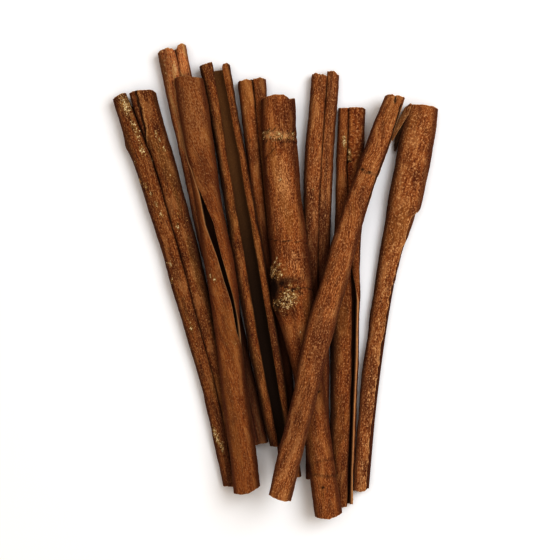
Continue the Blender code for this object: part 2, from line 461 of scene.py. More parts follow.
@dataclass(frozen=True)
class Crack:
    """A dark crack that follows a path along the stick."""

    path: Path              # (along, angle), from low to high along
    width: float = 0.7
    depth: float = 0.5
    part: Part = Part.WHOLE
    wiggle: float = 0.15
    lip: float = 0.0        # height of the bark that curls up beside it
    seed: int = 1

    def mark(self, strip: Strip) -> None:
        """Cut the crack into the strip and darken it."""
        alongs, angles = zip(*self.path)
        centre = np.interp(strip.along, alongs, angles)
        turn = (strip.angle - centre + 180.0) % 360.0 - 180.0
        radius = (strip.reach_across + strip.reach_up) / 2
        around = np.where(strip.seen(self.part), radians(1.0) * turn * radius, 1e3)
        around = around + self.wiggle * wander(strip.along, 1.6, self.seed)
        ends = soft_step(strip.along, alongs[0] - 0.4, alongs[0] + 1.5)
        ends = ends * (1 - soft_step(strip.along, alongs[-1] - 1.5, alongs[-1] + 0.4))
        cut = np.exp(-(2 * around / self.width) ** 2) * ends
        strip.lay(Coat.RELIEF, -self.depth * cut)
        strip.lay(Coat.DARK, cut)
        if self.lip:
            edge = np.exp(-(2 * (around + self.width * 1.1) / self.width) ** 2) * ends
            strip.lay(Coat.RELIEF, self.lip * edge)
            strip.lay(Coat.WORN, edge)


@dataclass(frozen=True)
class Crease:
    """A ring or part of a ring round the stick, where a leaf or branch once sat."""

    start: tuple[float, float]      # (along, angle)
    end: tuple[float, float]
    width: float = 0.6
    depth: float = 0.15
    dark: float = 0.5
    part: Part = Part.WHOLE
    wave: float = 0.3
    seed: int = 3

    def mark(self, strip: Strip) -> None:
        """Press the crease into the strip."""
        middle = (self.start[1] + self.end[1]) / 2
        half = (self.end[1] - self.start[1]) / 2
        turn = (strip.angle - middle + 180.0) % 360.0 - 180.0
        inside = strip.seen(self.part) * (1 - soft_step(np.abs(turn), half * 0.75, half))
        share = 0.5 + 0.5 * turn / half
        centre = self.start[0] + (self.end[0] - self.start[0]) * share
        centre = centre + self.wave * wander(strip.arc, 1.8, self.seed)
        press = np.exp(-(2 * (strip.along - centre) / self.width) ** 2) * inside
        strip.lay(Coat.RELIEF, -self.depth * press)
        strip.lay(Coat.DARK, self.dark * press)


@dataclass(frozen=True)
class Flecks:
    """Small patches of one kind at chosen spots."""

    spots: Path             # (along, angle)
    coat: Coat = Coat.LICHEN
    length: float = 2.8
    width: float = 1.4
    amount: float = 1.3
    part: Part = Part.WHOLE

    def mark(self, strip: Strip) -> None:
        """Lay every patch on the strip."""
        for along, angle in self.spots:
            spot = Patch(self.coat, along, angle, self.length, self.width, self.amount, self.part)
            spot.mark(strip)


@dataclass(frozen=True)
class Sprinkle:
    """Small patches scattered over a stretch of a part."""

    along: tuple[float, float]
    angle: tuple[float, float]
    count: int
    seed: int
    coat: Coat = Coat.LICHEN
    part: Part = Part.WHOLE
    amount: tuple[float, float] = (0.4, 1.0)
    size: tuple[float, float] = (0.9, 2.2)
    stretch: float = 2.0        # longest patch for its width

    def mark(self, strip: Strip) -> None:
        """Lay every patch on the strip, at random within the stretch."""
        dice = np.random.default_rng(self.seed)
        for _ in range(self.count):
            along, angle = dice.uniform(*self.along), dice.uniform(*self.angle)
            size, stretch = dice.uniform(*self.size), dice.uniform(1.0, self.stretch)
            spot = Patch(self.coat, along, angle, size * stretch, size,
                         dice.uniform(*self.amount), self.part)
            spot.mark(strip)


@dataclass(frozen=True)
class Knot:
    """A swollen knot: a rough rim of crusty lumps round a dark hole."""

    along: float
    angle: float
    size: float
    height: float = 0.8
    hole: float = 0.0       # width of the hole
    crust: float = 1.0
    part: Part = Part.WHOLE
    seed: int = 5

    def mark(self, strip: Strip) -> None:
        """Raise the knot on the strip and roughen it."""
        ahead, around = strip.from_spot(self.part, self.along, self.angle)
        distance = np.hypot(ahead, around)
        swell = np.exp(-(1.6 * distance / self.size) ** 2)
        lumps = wander(ahead + 0.7 * around, 0.8, self.seed)
        lumps = lumps + wander(around - 0.6 * ahead, 0.7, self.seed + 1)
        strip.lay(Coat.RELIEF, swell * (self.height + 0.28 * lumps * self.crust))
        strip.lay(Coat.LICHEN, np.clip(swell * self.crust * (0.8 + 0.5 * lumps), 0, 1))
        strip.lay(Coat.DARK, np.clip(swell * self.crust * (0.35 - 0.6 * lumps), 0, 0.8))
        if self.hole:
            pit = np.exp(-(1.7 * distance / self.hole) ** 2)
            strip.lay(Coat.RELIEF, -pit * (self.height + 0.7))
            strip.lay(Coat.DARK, pit)
            strip.coats[Coat.LICHEN] *= 1 - np.clip(1.5 * pit, 0, 1)


# ---------------------------------------------------------------- the scrolls


@dataclass(frozen=True)
class Tear:
    """Outer bark that has broken off: (along, turns lost from the free edge)."""

    path: Path
    rough: float = 0.010
    taken_up: float = 12.0      # length over which the roll takes up the lost layer's room
    seed: int = 4

    def lost(self, along: np.ndarray) -> np.ndarray:
        """Find how many turns are lost at distances along."""
        edge = read_path(self.path, along)
        ragged = wander(along, 1.7, self.seed) + 0.5 * wander(along, 0.7, self.seed + 1)
        return np.maximum(edge + self.rough * ragged * (edge > 0.02), 0.0)


@dataclass(frozen=True)
class DoubleScroll:
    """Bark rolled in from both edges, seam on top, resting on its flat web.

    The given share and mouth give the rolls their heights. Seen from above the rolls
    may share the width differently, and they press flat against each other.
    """

    left_share: float = 0.5                 # of the width that the two rolls take up
    left_turns: float = 1.0
    right_turns: float = 1.0
    mouth: Path = ((0.0, 0.3),)             # (y, gap between the rolls)
    seen_share: Path = ()                   # (y, share) of the left roll, seen from above
    seen_mouth: Path = ()                   # (y, gap) seen from above
    left_beyond: Path = ((0.0, 0.0),)       # (y, how far the left roll reaches past the solid)
    shoulder: float = 3.4                   # 2 is round, more is squarer next to the seam
    layer_gap: float = LAYER_GAP

    def columns(self) -> tuple[np.ndarray, np.ndarray]:
        """List the columns from the left edge to the right edge.

        Returns:
            The share of its roll that each column has turned, and the part it is on.
        """
        left = turn_steps(self.left_turns, SHOWN_TURN) / self.left_turns
        right = turn_steps(self.right_turns, SHOWN_TURN) / self.right_turns
        web = np.arange(1, WEB_COLUMNS) / WEB_COLUMNS
        turned = np.concatenate((left[::-1], web, right))
        counts = (len(left), len(web), len(right))
        return turned, np.repeat((Part.LEFT.value, Part.WEB.value, Part.RIGHT.value), counts)

    def radii(self, course: Course, along: np.ndarray) -> dict[Part, tuple[np.ndarray, ...]]:
        """Find how far each roll reaches across and up, and its width."""
        width = course.read_at(course.width, along)
        y = course.centre_at(along)[..., 1]
        packed = width - read_path(self.mouth, y)
        seen = width - read_path(self.seen_mouth or self.mouth, y)
        left = read_path(self.seen_share or ((0.0, self.left_share),), y)
        return {
            part: (
                (seen * share + self.layer_gap) / 2, (packed * packed_share + self.layer_gap) / 2
            )
            for part, share, packed_share in (
                (Part.LEFT, left, self.left_share),
                (Part.RIGHT, 1 - left, 1 - self.left_share),
            )
        }

    def lay_out(self, course: Course, bark: float, along: np.ndarray) -> dict[str, np.ndarray]:
        """Find where each point of the strip goes round its roll.

        Args:
            course: The stick's course.
            bark: Thickness of the bark.
            along: Distance of each point along the stick.

        Returns:
            The strip's arrays by name.
        """
        shares, parts = self.columns()
        shares = np.broadcast_to(shares, along.shape)
        pitch = bark + self.layer_gap
        radii = self.radii(course, along)
        y = course.centre_at(along)[..., 1]
        on_left = parts == Part.LEFT.value
        on_web = parts == Part.WEB.value
        mix = np.where(on_web, shares, np.where(on_left, 0.0, 1.0))
        ends = []
        for part, turns, side in (
            (Part.LEFT, self.left_turns, -1.0), (Part.RIGHT, self.right_turns, 1.0),
        ):
            across, up = radii[part]
            beyond = read_path(self.left_beyond, y) if part is Part.LEFT else 0.0
            across = across + beyond / 2
            room = (np.minimum(across, up) - bark / 2 - CORE_AIR) / pitch
            half = course.read_at(course.width, along) / 2
            middle = side * (half + beyond - (across - pitch / 4 + bark / 2))
            ends.append((across, up, middle, np.clip(room, 0.3, turns)))
        across, up, middle, turns = (
            left * (1 - mix) + right * mix for left, right in zip(*ends)
        )
        turned = np.where(on_web, 0.0, shares * turns)
        angle = 360.0 * turned - 90.0
        squarer = square_off(angle, self.shoulder)
        _, side, upward = course.frame_at(along)
        axis = course.centre_at(along) + side * middle[..., None]
        return {
            "part": parts,
            "turned": turned,
            "angle": angle,
            "reach_across": across * squarer,
            "reach_up": up * squarer,
            "axis": axis + upward * (bark / 2 + up)[..., None],
            "side_way": side * np.where(on_left, -1.0, 1.0)[None, :, None],
            "up_way": upward,
            "lost": np.zeros_like(along),
        }


@dataclass(frozen=True)
class SingleScroll:
    """Bark rolled up from one edge, its free edge lying at an angle round the stick.

    Seen from the thin end, 0 degrees is the right side, 90 the top and 180 the left
    side. The bark runs inwards from its free edge with rising angle.
    """

    turns: float
    free_edge: Path                         # (y, angle)
    slot: Path = ()                         # (y, degrees left open), for a split tube
    layer_gap: float = LAYER_GAP
    tear: Tear | None = None

    def columns(self) -> tuple[np.ndarray, np.ndarray]:
        """List the columns from the free edge inwards: turns so far, and the part."""
        turned = turn_steps(self.turns, 1.0)
        return turned, np.full(len(turned), Part.WHOLE.value)

    def wind(
        self, y: np.ndarray, steps: np.ndarray, lost: np.ndarray | float = 0.0
    ) -> tuple[np.ndarray, np.ndarray]:
        """Find turns and angle, in degrees, of columns at places along y.

        Args:
            y: Place of each point along the model's long side.
            steps: Turns of each column.
            lost: Turns torn off; columns outside stop at the torn edge.

        Returns:
            Turns and angle of each point.
        """
        share = np.ones_like(y)
        if self.slot:
            share = (1 - read_path(self.slot, y) / 360) / self.turns
        turned = np.maximum(steps * share, lost)
        return turned, read_path(self.free_edge, y) + 360.0 * turned

    def lay_out(self, course: Course, bark: float, along: np.ndarray) -> dict[str, np.ndarray]:
        """Find where each point of the strip goes round its roll.

        Args:
            course: The stick's course.
            bark: Thickness of the bark.
            along: Distance of each point along the stick.

        Returns:
            The strip's arrays by name.
        """
        steps, parts = self.columns()
        half_width = (course.width - bark) / 2
        half_tall = (course.tall - bark) / 2
        at = course.read_at
        turned, angles = self.wind(course.centre[:, 1:2], steps[None, :])
        angles = np.radians(angles)
        shrink = (bark + self.layer_gap) * turned
        spread, shift = fit_to(half_width, (half_width[:, None] - shrink) * np.cos(angles))
        if self.tear:
            first = self.tear.path[0][0]
            shrink = np.where(turned > self.tear.lost(course.run[:, None]), shrink, np.nan)
            closer, aside = fit_to(half_width, (half_width[:, None] - shrink) * np.cos(angles))
            mix = soft_step(course.run, first, first + self.tear.taken_up)
            spread, shift = spread + (closer - spread) * mix, shift + (aside - shift) * mix
        rise, lift = fit_to(half_tall, (half_tall[:, None] - shrink) * np.sin(angles))
        lost = self.tear.lost(along) if self.tear else np.zeros_like(along)
        turned, angle = self.wind(course.centre_at(along)[..., 1], steps[None, :], lost)
        _, side, up = course.frame_at(along)
        axis = course.centre_at(along) + side * at(shift, along)[..., None]
        axis = axis + up * (at(lift, along) + at(half_tall, along) + bark / 2)[..., None]
        return {
            "part": parts,
            "turned": turned,
            "angle": angle,
            "reach_across": at(half_width, along),
            "reach_up": at(half_tall, along),
            "axis": axis,
            "side_way": side * at(spread, along)[..., None],
            "up_way": up * at(rise, along)[..., None],
            "lost": lost,
        }


def turn_steps(turns: float, shown: float) -> np.ndarray:
    """List turns from 0 to the last one, closer together where the bark shows."""
    fine = np.arange(0.0, min(turns, shown), FINE_TURN / 360)
    coarse = np.arange(fine[-1] + FINE_TURN / 360, turns - 0.01, COARSE_TURN / 360)
    return np.concatenate((fine, coarse, [turns]))


def square_off(angle: np.ndarray, shoulder: float) -> np.ndarray:
    """Find the factor that squares off a round roll between its top and the seam."""
    turn = np.clip((angle % 360.0) - 90.0, 0.0, 90.0)
    exponent = 2.0 + (shoulder - 2.0) * (1 - soft_step(angle, 190.0, 250.0))
    across, up = np.sin(np.radians(turn)), np.cos(np.radians(turn))
    return (across ** exponent + up ** exponent) ** (-1 / exponent)


def fit_to(half: np.ndarray, section: np.ndarray) -> tuple[np.ndarray, np.ndarray]:
    """Find the factor and the shift that make each section span from -half to half."""
    high, low = np.nanmax(section, axis=1), np.nanmin(section, axis=1)
    factor = 2 * half / (high - low)
    return factor, -factor * (high + low) / 2


# ---------------------------------------------------------------- ends and tears


@dataclass(frozen=True)
class EndCut:
    """How an end is cut and worn: millimetres lost at places across the stick.

    A place is -1 at the left side, 0 in the middle and 1 at the right side. A single
    scroll is one whole and takes the profile called left.
    """

    left: Path = ((0.0, 0.0),)
    right: Path = ((0.0, 0.0),)
    web: float = 0.3
    inside: float = 0.6         # that the layers inside fall short
    chips: float = 0.25         # depth of the chips along the edge
    seed: int = 1

    def lost(self, place: np.ndarray, part: np.ndarray, turned: np.ndarray) -> np.ndarray:
        """Find how much is missing at each column.

        Args:
            place: Place of each column across the stick.
            part: Number of the part that each column is on.
            turned: Turns that each column has rolled up.

        Returns:
            Millimetres lost from the square end, for each column.
        """
        lost = np.full(len(place), self.web)
        for number, profile in (
            (Part.LEFT, self.left), (Part.WHOLE, self.left), (Part.RIGHT, self.right),
        ):
            own = part == number.value
            lost[own] = read_path(profile, place[own])
        rolled_in = soft_step(turned, 0.62, 0.95) * np.where(part == Part.WHOLE.value, 0, 1)
        rolled_in = np.maximum(rolled_in, soft_step(turned, 0.98, 1.05))
        columns = np.arange(len(place))
        chips = wander(columns, 3.1, self.seed) + 0.6 * wander(columns, 1.3, self.seed + 9)
        return lost + self.inside * rolled_in + self.chips * np.abs(chips)


# ---------------------------------------------------------------- rolling the bark


@dataclass(frozen=True)
class Relief:
    """Heights of the bark's own roughness, and the lengths over which it varies."""

    sag: float = 0.22           # slow dents
    ridge: float = 0.10         # long ridges that follow the fibres
    wrinkle: float = 0.09       # short wrinkles and pits
    ridge_length: float = 34.0
    ridge_width: float = 2.3
    wrinkle_size: float = 2.2


class BarkRoller:
    """The Geometry Nodes tree that rolls a flat strip, roughens and thickens it."""

    SIZES = (
        ("Bark thickness", 1.1 * MM),
        ("Layer gap", LAYER_GAP * MM),
        ("Sag height", 0.22 * MM),
        ("Ridge height", 0.1 * MM),
        ("Wrinkle height", 0.09 * MM),
        ("Ridge length mm", 34.0),
        ("Ridge width mm", 2.3),
        ("Wrinkle size mm", 2.2),
        ("Seed", 1.0),
        ("Ground", 0.0),
    )

    def __init__(self) -> None:
        """Make the tree."""
        self.tree = bpy.data.node_groups.new("rolled_bark", "GeometryNodeTree")
        self.sockets: dict[str, str] = {}
        self._build()

    def _build(self) -> None:
        """Add the inputs, the spiral, the relief and the thickness to the tree."""
        tree = self.tree
        sockets = tree.interface
        sockets.new_socket(
            name="Flat strip", in_out="INPUT", socket_type="NodeSocketGeometry")
        for name, size in self.SIZES:
            socket = sockets.new_socket(
                name=name, in_out="INPUT", socket_type="NodeSocketFloat")
            socket.default_value = size
            self.sockets[name] = socket.identifier
        socket = sockets.new_socket(
            name="Bark", in_out="INPUT", socket_type="NodeSocketMaterial")
        self.sockets["Bark"] = socket.identifier
        sockets.new_socket(
            name="Rolled bark", in_out="OUTPUT", socket_type="NodeSocketGeometry")
        given = tree.nodes.new("NodeGroupInput").outputs
        spot = self._spiral(given)
        heights = self._relief(given)
        self._thicken(given, spot, heights)

    def _attribute(self, name: str, data_type: str) -> bpy.types.NodeSocket:
        """Read one of the strip's attributes."""
        node = add(self.tree, "GeometryNodeInputNamedAttribute",
                   {"data_type": data_type}, {"Name": name})
        return node.outputs["Attribute"]

    def _spiral(self, given: bpy.types.NodeOutputs) -> bpy.types.NodeSocket:
        """Wind the strip round its axis: each turn lies one layer further in."""
        tree = self.tree
        pitch = add(tree, "ShaderNodeMath", {"operation": "ADD"},
                    {0: given["Bark thickness"], 1: given["Layer gap"]})
        shrink = add(tree, "ShaderNodeMath", {"operation": "MULTIPLY"},
                     {0: self._attribute("turned", "FLOAT"), 1: pitch.outputs[0]})
        angle = self._attribute("angle", "FLOAT")
        spot = self._attribute("axis", "FLOAT_VECTOR")
        for reach, turn, way in (
            ("reach_across", "COSINE", "side_way"), ("reach_up", "SINE", "up_way"),
        ):
            left = add(tree, "ShaderNodeMath", {"operation": "SUBTRACT"},
                       {0: self._attribute(reach, "FLOAT"), 1: shrink.outputs[0]})
            wave = add(tree, "ShaderNodeMath", {"operation": turn}, {0: angle})
            far = add(tree, "ShaderNodeMath", {"operation": "MULTIPLY"},
                      {0: left.outputs[0], 1: wave.outputs[0]})
            step = add(tree, "ShaderNodeVectorMath", {"operation": "SCALE"},
                       {0: self._attribute(way, "FLOAT_VECTOR"), "Scale": far.outputs[0]})
            spot = add(tree, "ShaderNodeVectorMath", {"operation": "ADD"},
                       {0: spot, 1: step.outputs[0]}).outputs[0]
        return spot

    def _relief(self, given: bpy.types.NodeOutputs) -> bpy.types.NodeSocket:
        """Add up the marks and the bark's own dents, ridges and wrinkles."""
        tree = self.tree
        strip = add(tree, "ShaderNodeSeparateXYZ", None,
                    {0: self._attribute("strip", "FLOAT_VECTOR")})
        total = self._attribute("relief", "FLOAT")
        for height, length, width, stretch, detail in (
            ("Sag height", "Ridge length mm", "Ridge width mm", (0.6, 3.6), 1.0),
            ("Ridge height", "Ridge length mm", "Ridge width mm", (1.0, 1.0), 2.0),
            ("Wrinkle height", "Wrinkle size mm", "Wrinkle size mm", (1.5, 0.8), 3.0),
        ):
            spans = [
                add(tree, "ShaderNodeMath", {"operation": "MULTIPLY"},
                    {0: given[name], 1: share}).outputs[0]
                for name, share in ((length, stretch[0]), (width, stretch[1]))
            ]
            along = add(tree, "ShaderNodeMath", {"operation": "DIVIDE"},
                        {0: strip.outputs["X"], 1: spans[0]})
            across = add(tree, "ShaderNodeMath", {"operation": "DIVIDE"},
                         {0: strip.outputs["Y"], 1: spans[1]})
            place = add(tree, "ShaderNodeCombineXYZ", None,
                        {"X": along.outputs[0], "Y": across.outputs[0], "Z": given["Seed"]})
            noise = add(tree, "ShaderNodeTexNoise", None,
                        {"Vector": place.outputs[0], "Scale": 1.0, "Detail": detail,
                         "Roughness": 0.6, "Distortion": 0.25})
            swing = add(tree, "ShaderNodeMapRange", {"clamp": False},
                        {"Value": noise.outputs[0], "From Min": 0.3, "From Max": 0.7,
                         "To Min": -1.0, "To Max": 1.0})
            bump = add(tree, "ShaderNodeMath", {"operation": "MULTIPLY"},
                       {0: swing.outputs[0], 1: given[height]})
            total = add(tree, "ShaderNodeMath", {"operation": "ADD"},
                        {0: total, 1: bump.outputs[0]}).outputs[0]
        return total

    def _thicken(
        self,
        given: bpy.types.NodeOutputs,
        spot: bpy.types.NodeSocket,
        heights: bpy.types.NodeSocket,
    ) -> None:
        """Close the rolled sheet into bark: outer side, inner side and the edges between.

        Args:
            given: The tree's inputs.
            spot: Where the middle of the bark lies.
            heights: Relief of the outer side.
        """
        tree = self.tree
        rolled = add(tree, "GeometryNodeSetPosition", None,
                     {"Geometry": given["Flat strip"], "Position": spot})
        normal = tree.nodes.new("GeometryNodeInputNormal")
        marked = add(tree, "GeometryNodeStoreNamedAttribute",
                     {"data_type": "FLOAT_VECTOR", "domain": "POINT"},
                     {"Geometry": rolled.outputs[0], "Name": "outward",
                      "Value": normal.outputs[0]})
        outward = self._attribute("outward", "FLOAT_VECTOR")
        half = add(tree, "ShaderNodeMath", {"operation": "MULTIPLY"},
                   {0: given["Bark thickness"], 1: 0.5})
        inner_step = add(tree, "ShaderNodeMath", {"operation": "MULTIPLY"},
                         {0: given["Bark thickness"], 1: -0.5})
        inner_offset = add(tree, "ShaderNodeVectorMath", {"operation": "SCALE"},
                           {0: outward, "Scale": inner_step.outputs[0]})
        inner = add(tree, "GeometryNodeSetPosition", None,
                    {"Geometry": marked.outputs[0], "Offset": inner_offset.outputs[0]})
        raised = add(tree, "GeometryNodeExtrudeMesh", {"mode": "FACES"},
                     {"Mesh": inner.outputs[0], "Offset Scale": 0.0, "Individual": False})
        shelled = add(tree, "GeometryNodeStoreNamedAttribute",
                      {"data_type": "FLOAT", "domain": "POINT"},
                      {"Geometry": raised.outputs["Mesh"], "Name": "shell",
                       "Value": raised.outputs["Top"]})
        outer_step = add(tree, "ShaderNodeMath", {"operation": "ADD"},
                         {0: half.outputs[0], 1: heights})
        outer_offset = add(tree, "ShaderNodeVectorMath", {"operation": "SCALE"},
                           {0: outward, "Scale": outer_step.outputs[0]})
        outer_spot = add(tree, "ShaderNodeVectorMath", {"operation": "ADD"},
                         {0: spot, 1: outer_offset.outputs[0]})
        outer = add(tree, "GeometryNodeSetPosition", None,
                    {"Geometry": shelled.outputs[0], "Selection": raised.outputs["Top"],
                     "Position": outer_spot.outputs[0]})
        lining = add(tree, "GeometryNodeFlipFaces", None, {"Mesh": inner.outputs[0]})
        both = tree.nodes.new("GeometryNodeJoinGeometry")
        tree.links.new(lining.outputs[0], both.inputs[0])
        tree.links.new(outer.outputs[0], both.inputs[0])
        closed = add(tree, "GeometryNodeMergeByDistance", None,
                     {"Geometry": both.outputs[0], "Distance": 0.001 * MM})
        place = add(tree, "ShaderNodeSeparateXYZ", None,
                    {0: tree.nodes.new("GeometryNodeInputPosition").outputs[0]})
        above = add(tree, "ShaderNodeMath", {"operation": "MAXIMUM"},
                    {0: place.outputs["Z"], 1: given["Ground"]})
        lowest = add(tree, "ShaderNodeCombineXYZ", None,
                     {"X": place.outputs["X"], "Y": place.outputs["Y"], "Z": above.outputs[0]})
        resting = add(tree, "GeometryNodeSetPosition", None,
                      {"Geometry": closed.outputs[0], "Position": lowest.outputs[0]})
        smooth = add(tree, "GeometryNodeSetShadeSmooth", None,
                     {"Geometry": resting.outputs[0]})
        real = add(tree, "GeometryNodeRealizeInstances", None,
                   {"Geometry": smooth.outputs[0]})
        clad = add(tree, "GeometryNodeSetMaterial", None,
                   {"Geometry": real.outputs[0], "Material": given["Bark"]})
        out = tree.nodes.new("NodeGroupOutput")
        tree.links.new(clad.outputs[0], out.inputs[0])

    def roll(
        self,
        piece: bpy.types.Object,
        bark: float,
        layer_gap: float,
        relief: Relief,
        seed: float,
        material: bpy.types.Material,
    ) -> None:
        """Roll up a flat strip for good.

        Args:
            piece: The object that holds the flat strip and gets the rolled one.
            bark: Thickness of the bark.
            layer_gap: Air between two layers.
            relief: Roughness of the bark.
            seed: Sets this stick's dents apart from those of the others.
            material: The finish of the bark.
        """
        modifier = piece.modifiers.new("rolled_bark", "NODES")
        modifier.node_group = self.tree
        for name, value in (
            ("Bark thickness", bark * MM),
            ("Layer gap", layer_gap * MM),
            ("Sag height", relief.sag * MM),
            ("Ridge height", relief.ridge * MM),
            ("Wrinkle height", relief.wrinkle * MM),
            ("Ridge length mm", relief.ridge_length),
            ("Ridge width mm", relief.ridge_width),
            ("Wrinkle size mm", relief.wrinkle_size),
            ("Seed", float(seed)),
            ("Bark", material),
        ):
            modifier[self.sockets[name]] = value
        make_plain(piece)


def make_plain(piece: bpy.types.Object) -> None:
    """Replace a piece's mesh by what its modifiers make of it, and drop the modifiers."""
    bpy.context.view_layer.update()
    graph = bpy.context.evaluated_depsgraph_get()
    made = bpy.data.meshes.new_from_object(piece.evaluated_get(graph))
    flat = piece.data
    piece.modifiers.clear()
    piece.data = made
    bpy.data.meshes.remove(flat)
    made.name = piece.name
    for name in ("axis", "side_way", "up_way", "outward", "turned", "angle",
                 "reach_across", "reach_up", "relief"):
        attribute = made.attributes.get(name)
        if attribute:
            made.attributes.remove(attribute)


# ---------------------------------------------------------------- finishes


class Slot(Enum):
    """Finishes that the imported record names."""

    DARK = "dark_bark"
    BROWN = "brown_bark"
    WARM = "warm_bark"


@dataclass(frozen=True)
class BarkFinish:
    """Dried cinnamon bark: quite matt, fibrous along the stick and finely mottled.

    The darker places are redder, as on the real bark, where the cork layer has worn off.
    """

    slot: Slot
    deep: str
    dark: str
    middle: str
    light: str
    worn: str
    olive: str
    lining: str
    mottling: float = 1.0       # contrast of the fine pattern
    roughness: float = 0.85

    def material(self, name: str, seed: float) -> bpy.types.Material:
        """Make the material for one stick.

        Args:
            name: Name of the stick.
            seed: Sets this stick's pattern apart from those of the others.

        Returns:
            The material.
        """
        material = bpy.data.materials.new(name + "_dried_bark")
        material.use_nodes = True
        tree = material.node_tree
        tree.nodes.clear()
        strip = add(tree, "ShaderNodeAttribute", {"attribute_name": "strip"}).outputs["Vector"]
        marks = add(tree, "ShaderNodeSeparateXYZ", None, {
            0: add(tree, "ShaderNodeAttribute", {"attribute_name": "marks"}).outputs["Vector"]})
        shell = add(tree, "ShaderNodeAttribute", {"attribute_name": "shell"}).outputs["Fac"]
        rim = add(tree, "ShaderNodeAttribute", {"attribute_name": "rim"}).outputs["Fac"]
        flank_shade = add(tree, "ShaderNodeAttribute", {"attribute_name": "flank_shade"}).outputs["Fac"]
        painted_occlusion = add(tree, "ShaderNodeAttribute", {"attribute_name": "occlusion_shade"}).outputs["Fac"]

        # Lengths along and across, in mm. Real fibres are near 0.1 mm wide, too fine to
        # show, so they are drawn 0.5 mm wide.
        fields: dict[str, bpy.types.NodeSocket] = {}
        for number, (field_name, length, width, detail, rough) in enumerate((
            ("fibre", 5.0, 0.5, 3.0, 0.6),
            ("mottle", 0.8, 0.42, 3.0, 0.7),
            ("speck", 0.8, 0.36, 2.0, 0.6),
            ("cloud", 30.0, 6.5, 3.0, 0.55),
            ("blotch", 9.0, 2.6, 2.0, 0.5),
        )):
            place = add(tree, "ShaderNodeMapping", None,
                        {"Vector": strip, "Scale": (1 / length, 1 / width, 1.0),
                         "Location": (5.0 * number + seed, 4.0 * number, seed)})
            noise = add(tree, "ShaderNodeTexNoise", None,
                        {"Vector": place.outputs[0], "Scale": 1.0, "Detail": detail,
                         "Roughness": rough, "Distortion": 0.2})
            fields[field_name] = noise.outputs[0]

        grain = add(tree, "ShaderNodeMix", {"data_type": "FLOAT"},
                    {0: 0.55, 2: fields["fibre"], 3: fields["mottle"]})
        half = 0.165 / self.mottling
        spread = add(tree, "ShaderNodeMapRange", None,
                     {"Value": grain.outputs[0], "From Min": 0.5 - half, "From Max": 0.5 + half})
        ramp = add(tree, "ShaderNodeValToRGB", None, {"Fac": spread.outputs[0]})
        stops = ramp.color_ramp.elements
        stops[0].color = linear(self.deep)
        stops[1].color = linear(self.light)
        stops.new(0.24).color = linear(self.dark)
        stops.new(0.58).color = linear(self.middle)
        colour = ramp.outputs["Color"]

        def blend(amount: Any, low: float, high: float, shade: str, strength: float) -> None:
            """Mix a colour in where a field rises from low to high."""
            nonlocal colour
            mask = add(tree, "ShaderNodeMapRange", {"interpolation_type": "SMOOTHSTEP"},
                       {"Value": amount, "From Min": low, "From Max": high,
                        "To Max": strength})
            mixed = add(tree, "ShaderNodeMix", {"data_type": "RGBA"},
                        {0: mask.outputs[0], 6: colour, 7: linear(shade)})
            colour = mixed.outputs[2]

        blend(fields["cloud"], 0.52, 0.64, self.olive, 0.5)
        blend(fields["cloud"], 0.48, 0.36, self.deep, 0.45)
        blend(fields["blotch"], 0.46, 0.34, self.deep, 0.35)
        blend(fields["blotch"], 0.54, 0.66, self.light, 0.4)
        blend(fields["speck"], 0.54, 0.66, self.worn, 0.6)
        worn = add(tree, "ShaderNodeMath", {"operation": "MULTIPLY_ADD"},
                   {0: marks.outputs["Y"], 1: 0.3, 2: fields["mottle"]})
        blend(worn.outputs[0], 0.60, 0.86, self.worn, 0.75)
        # Painted shade on the sides and underside of every roll.
        blend(flank_shade, 0.0, 1.0, self.deep, 0.62)
        # Edges of the bark: paler where worn, and also a painted highlight along them.
        blend(rim, 0.2, 1.0, self.worn, 0.6)
        # Painted shade where the other sticks hide the sky.
        blend(painted_occlusion, 0.15, 0.9, self.deep, 0.85)
        bare = add(tree, "ShaderNodeMath", {"operation": "SUBTRACT"}, {0: 1.0, 1: shell})
        blend(bare.outputs[0], 0.3, 0.9, self.lining, 0.7)
        # Dark marks: cracks, creases, holes and stains, and painted shade laid as long patches along some
        # sticks.
        blend(marks.outputs["Z"], 0.15, 0.9, "140805", 0.92)
        # Lichen: dark crust with pale specks under a millimetre on it.
        crust = add(tree, "ShaderNodeMath", {"operation": "MULTIPLY_ADD"},
                    {0: marks.outputs["X"], 1: 0.30, 2: fields["mottle"]})
        blend(crust.outputs[0], 0.66, 0.82, "7d5c34", 0.7)
        specks = add(tree, "ShaderNodeMath", {"operation": "MULTIPLY_ADD"},
                     {0: marks.outputs["X"], 1: 0.34, 2: fields["speck"]})
        blend(specks.outputs[0], 0.79, 0.86, "ab8c5c", 0.85)
        blend(specks.outputs[0], 0.87, 0.94, "dfd0ac", 0.95)

        height = add(tree, "ShaderNodeMath", {"operation": "MULTIPLY_ADD"},
                     {0: fields["speck"], 1: 0.5, 2: grain.outputs[0]})
        bump = add(tree, "ShaderNodeBump", None,
                   {"Strength": 0.8, "Distance": 0.4 * MM, "Height": height.outputs[0]})
        shader = add(tree, "ShaderNodeBsdfPrincipled", None,
                     {"Base Color": colour, "Roughness": self.roughness,
                      "Specular IOR Level": 0.12, "Normal": bump.outputs[0]})
        out = tree.nodes.new("ShaderNodeOutputMaterial")
        tree.links.new(shader.outputs[0], out.inputs["Surface"])
        return material


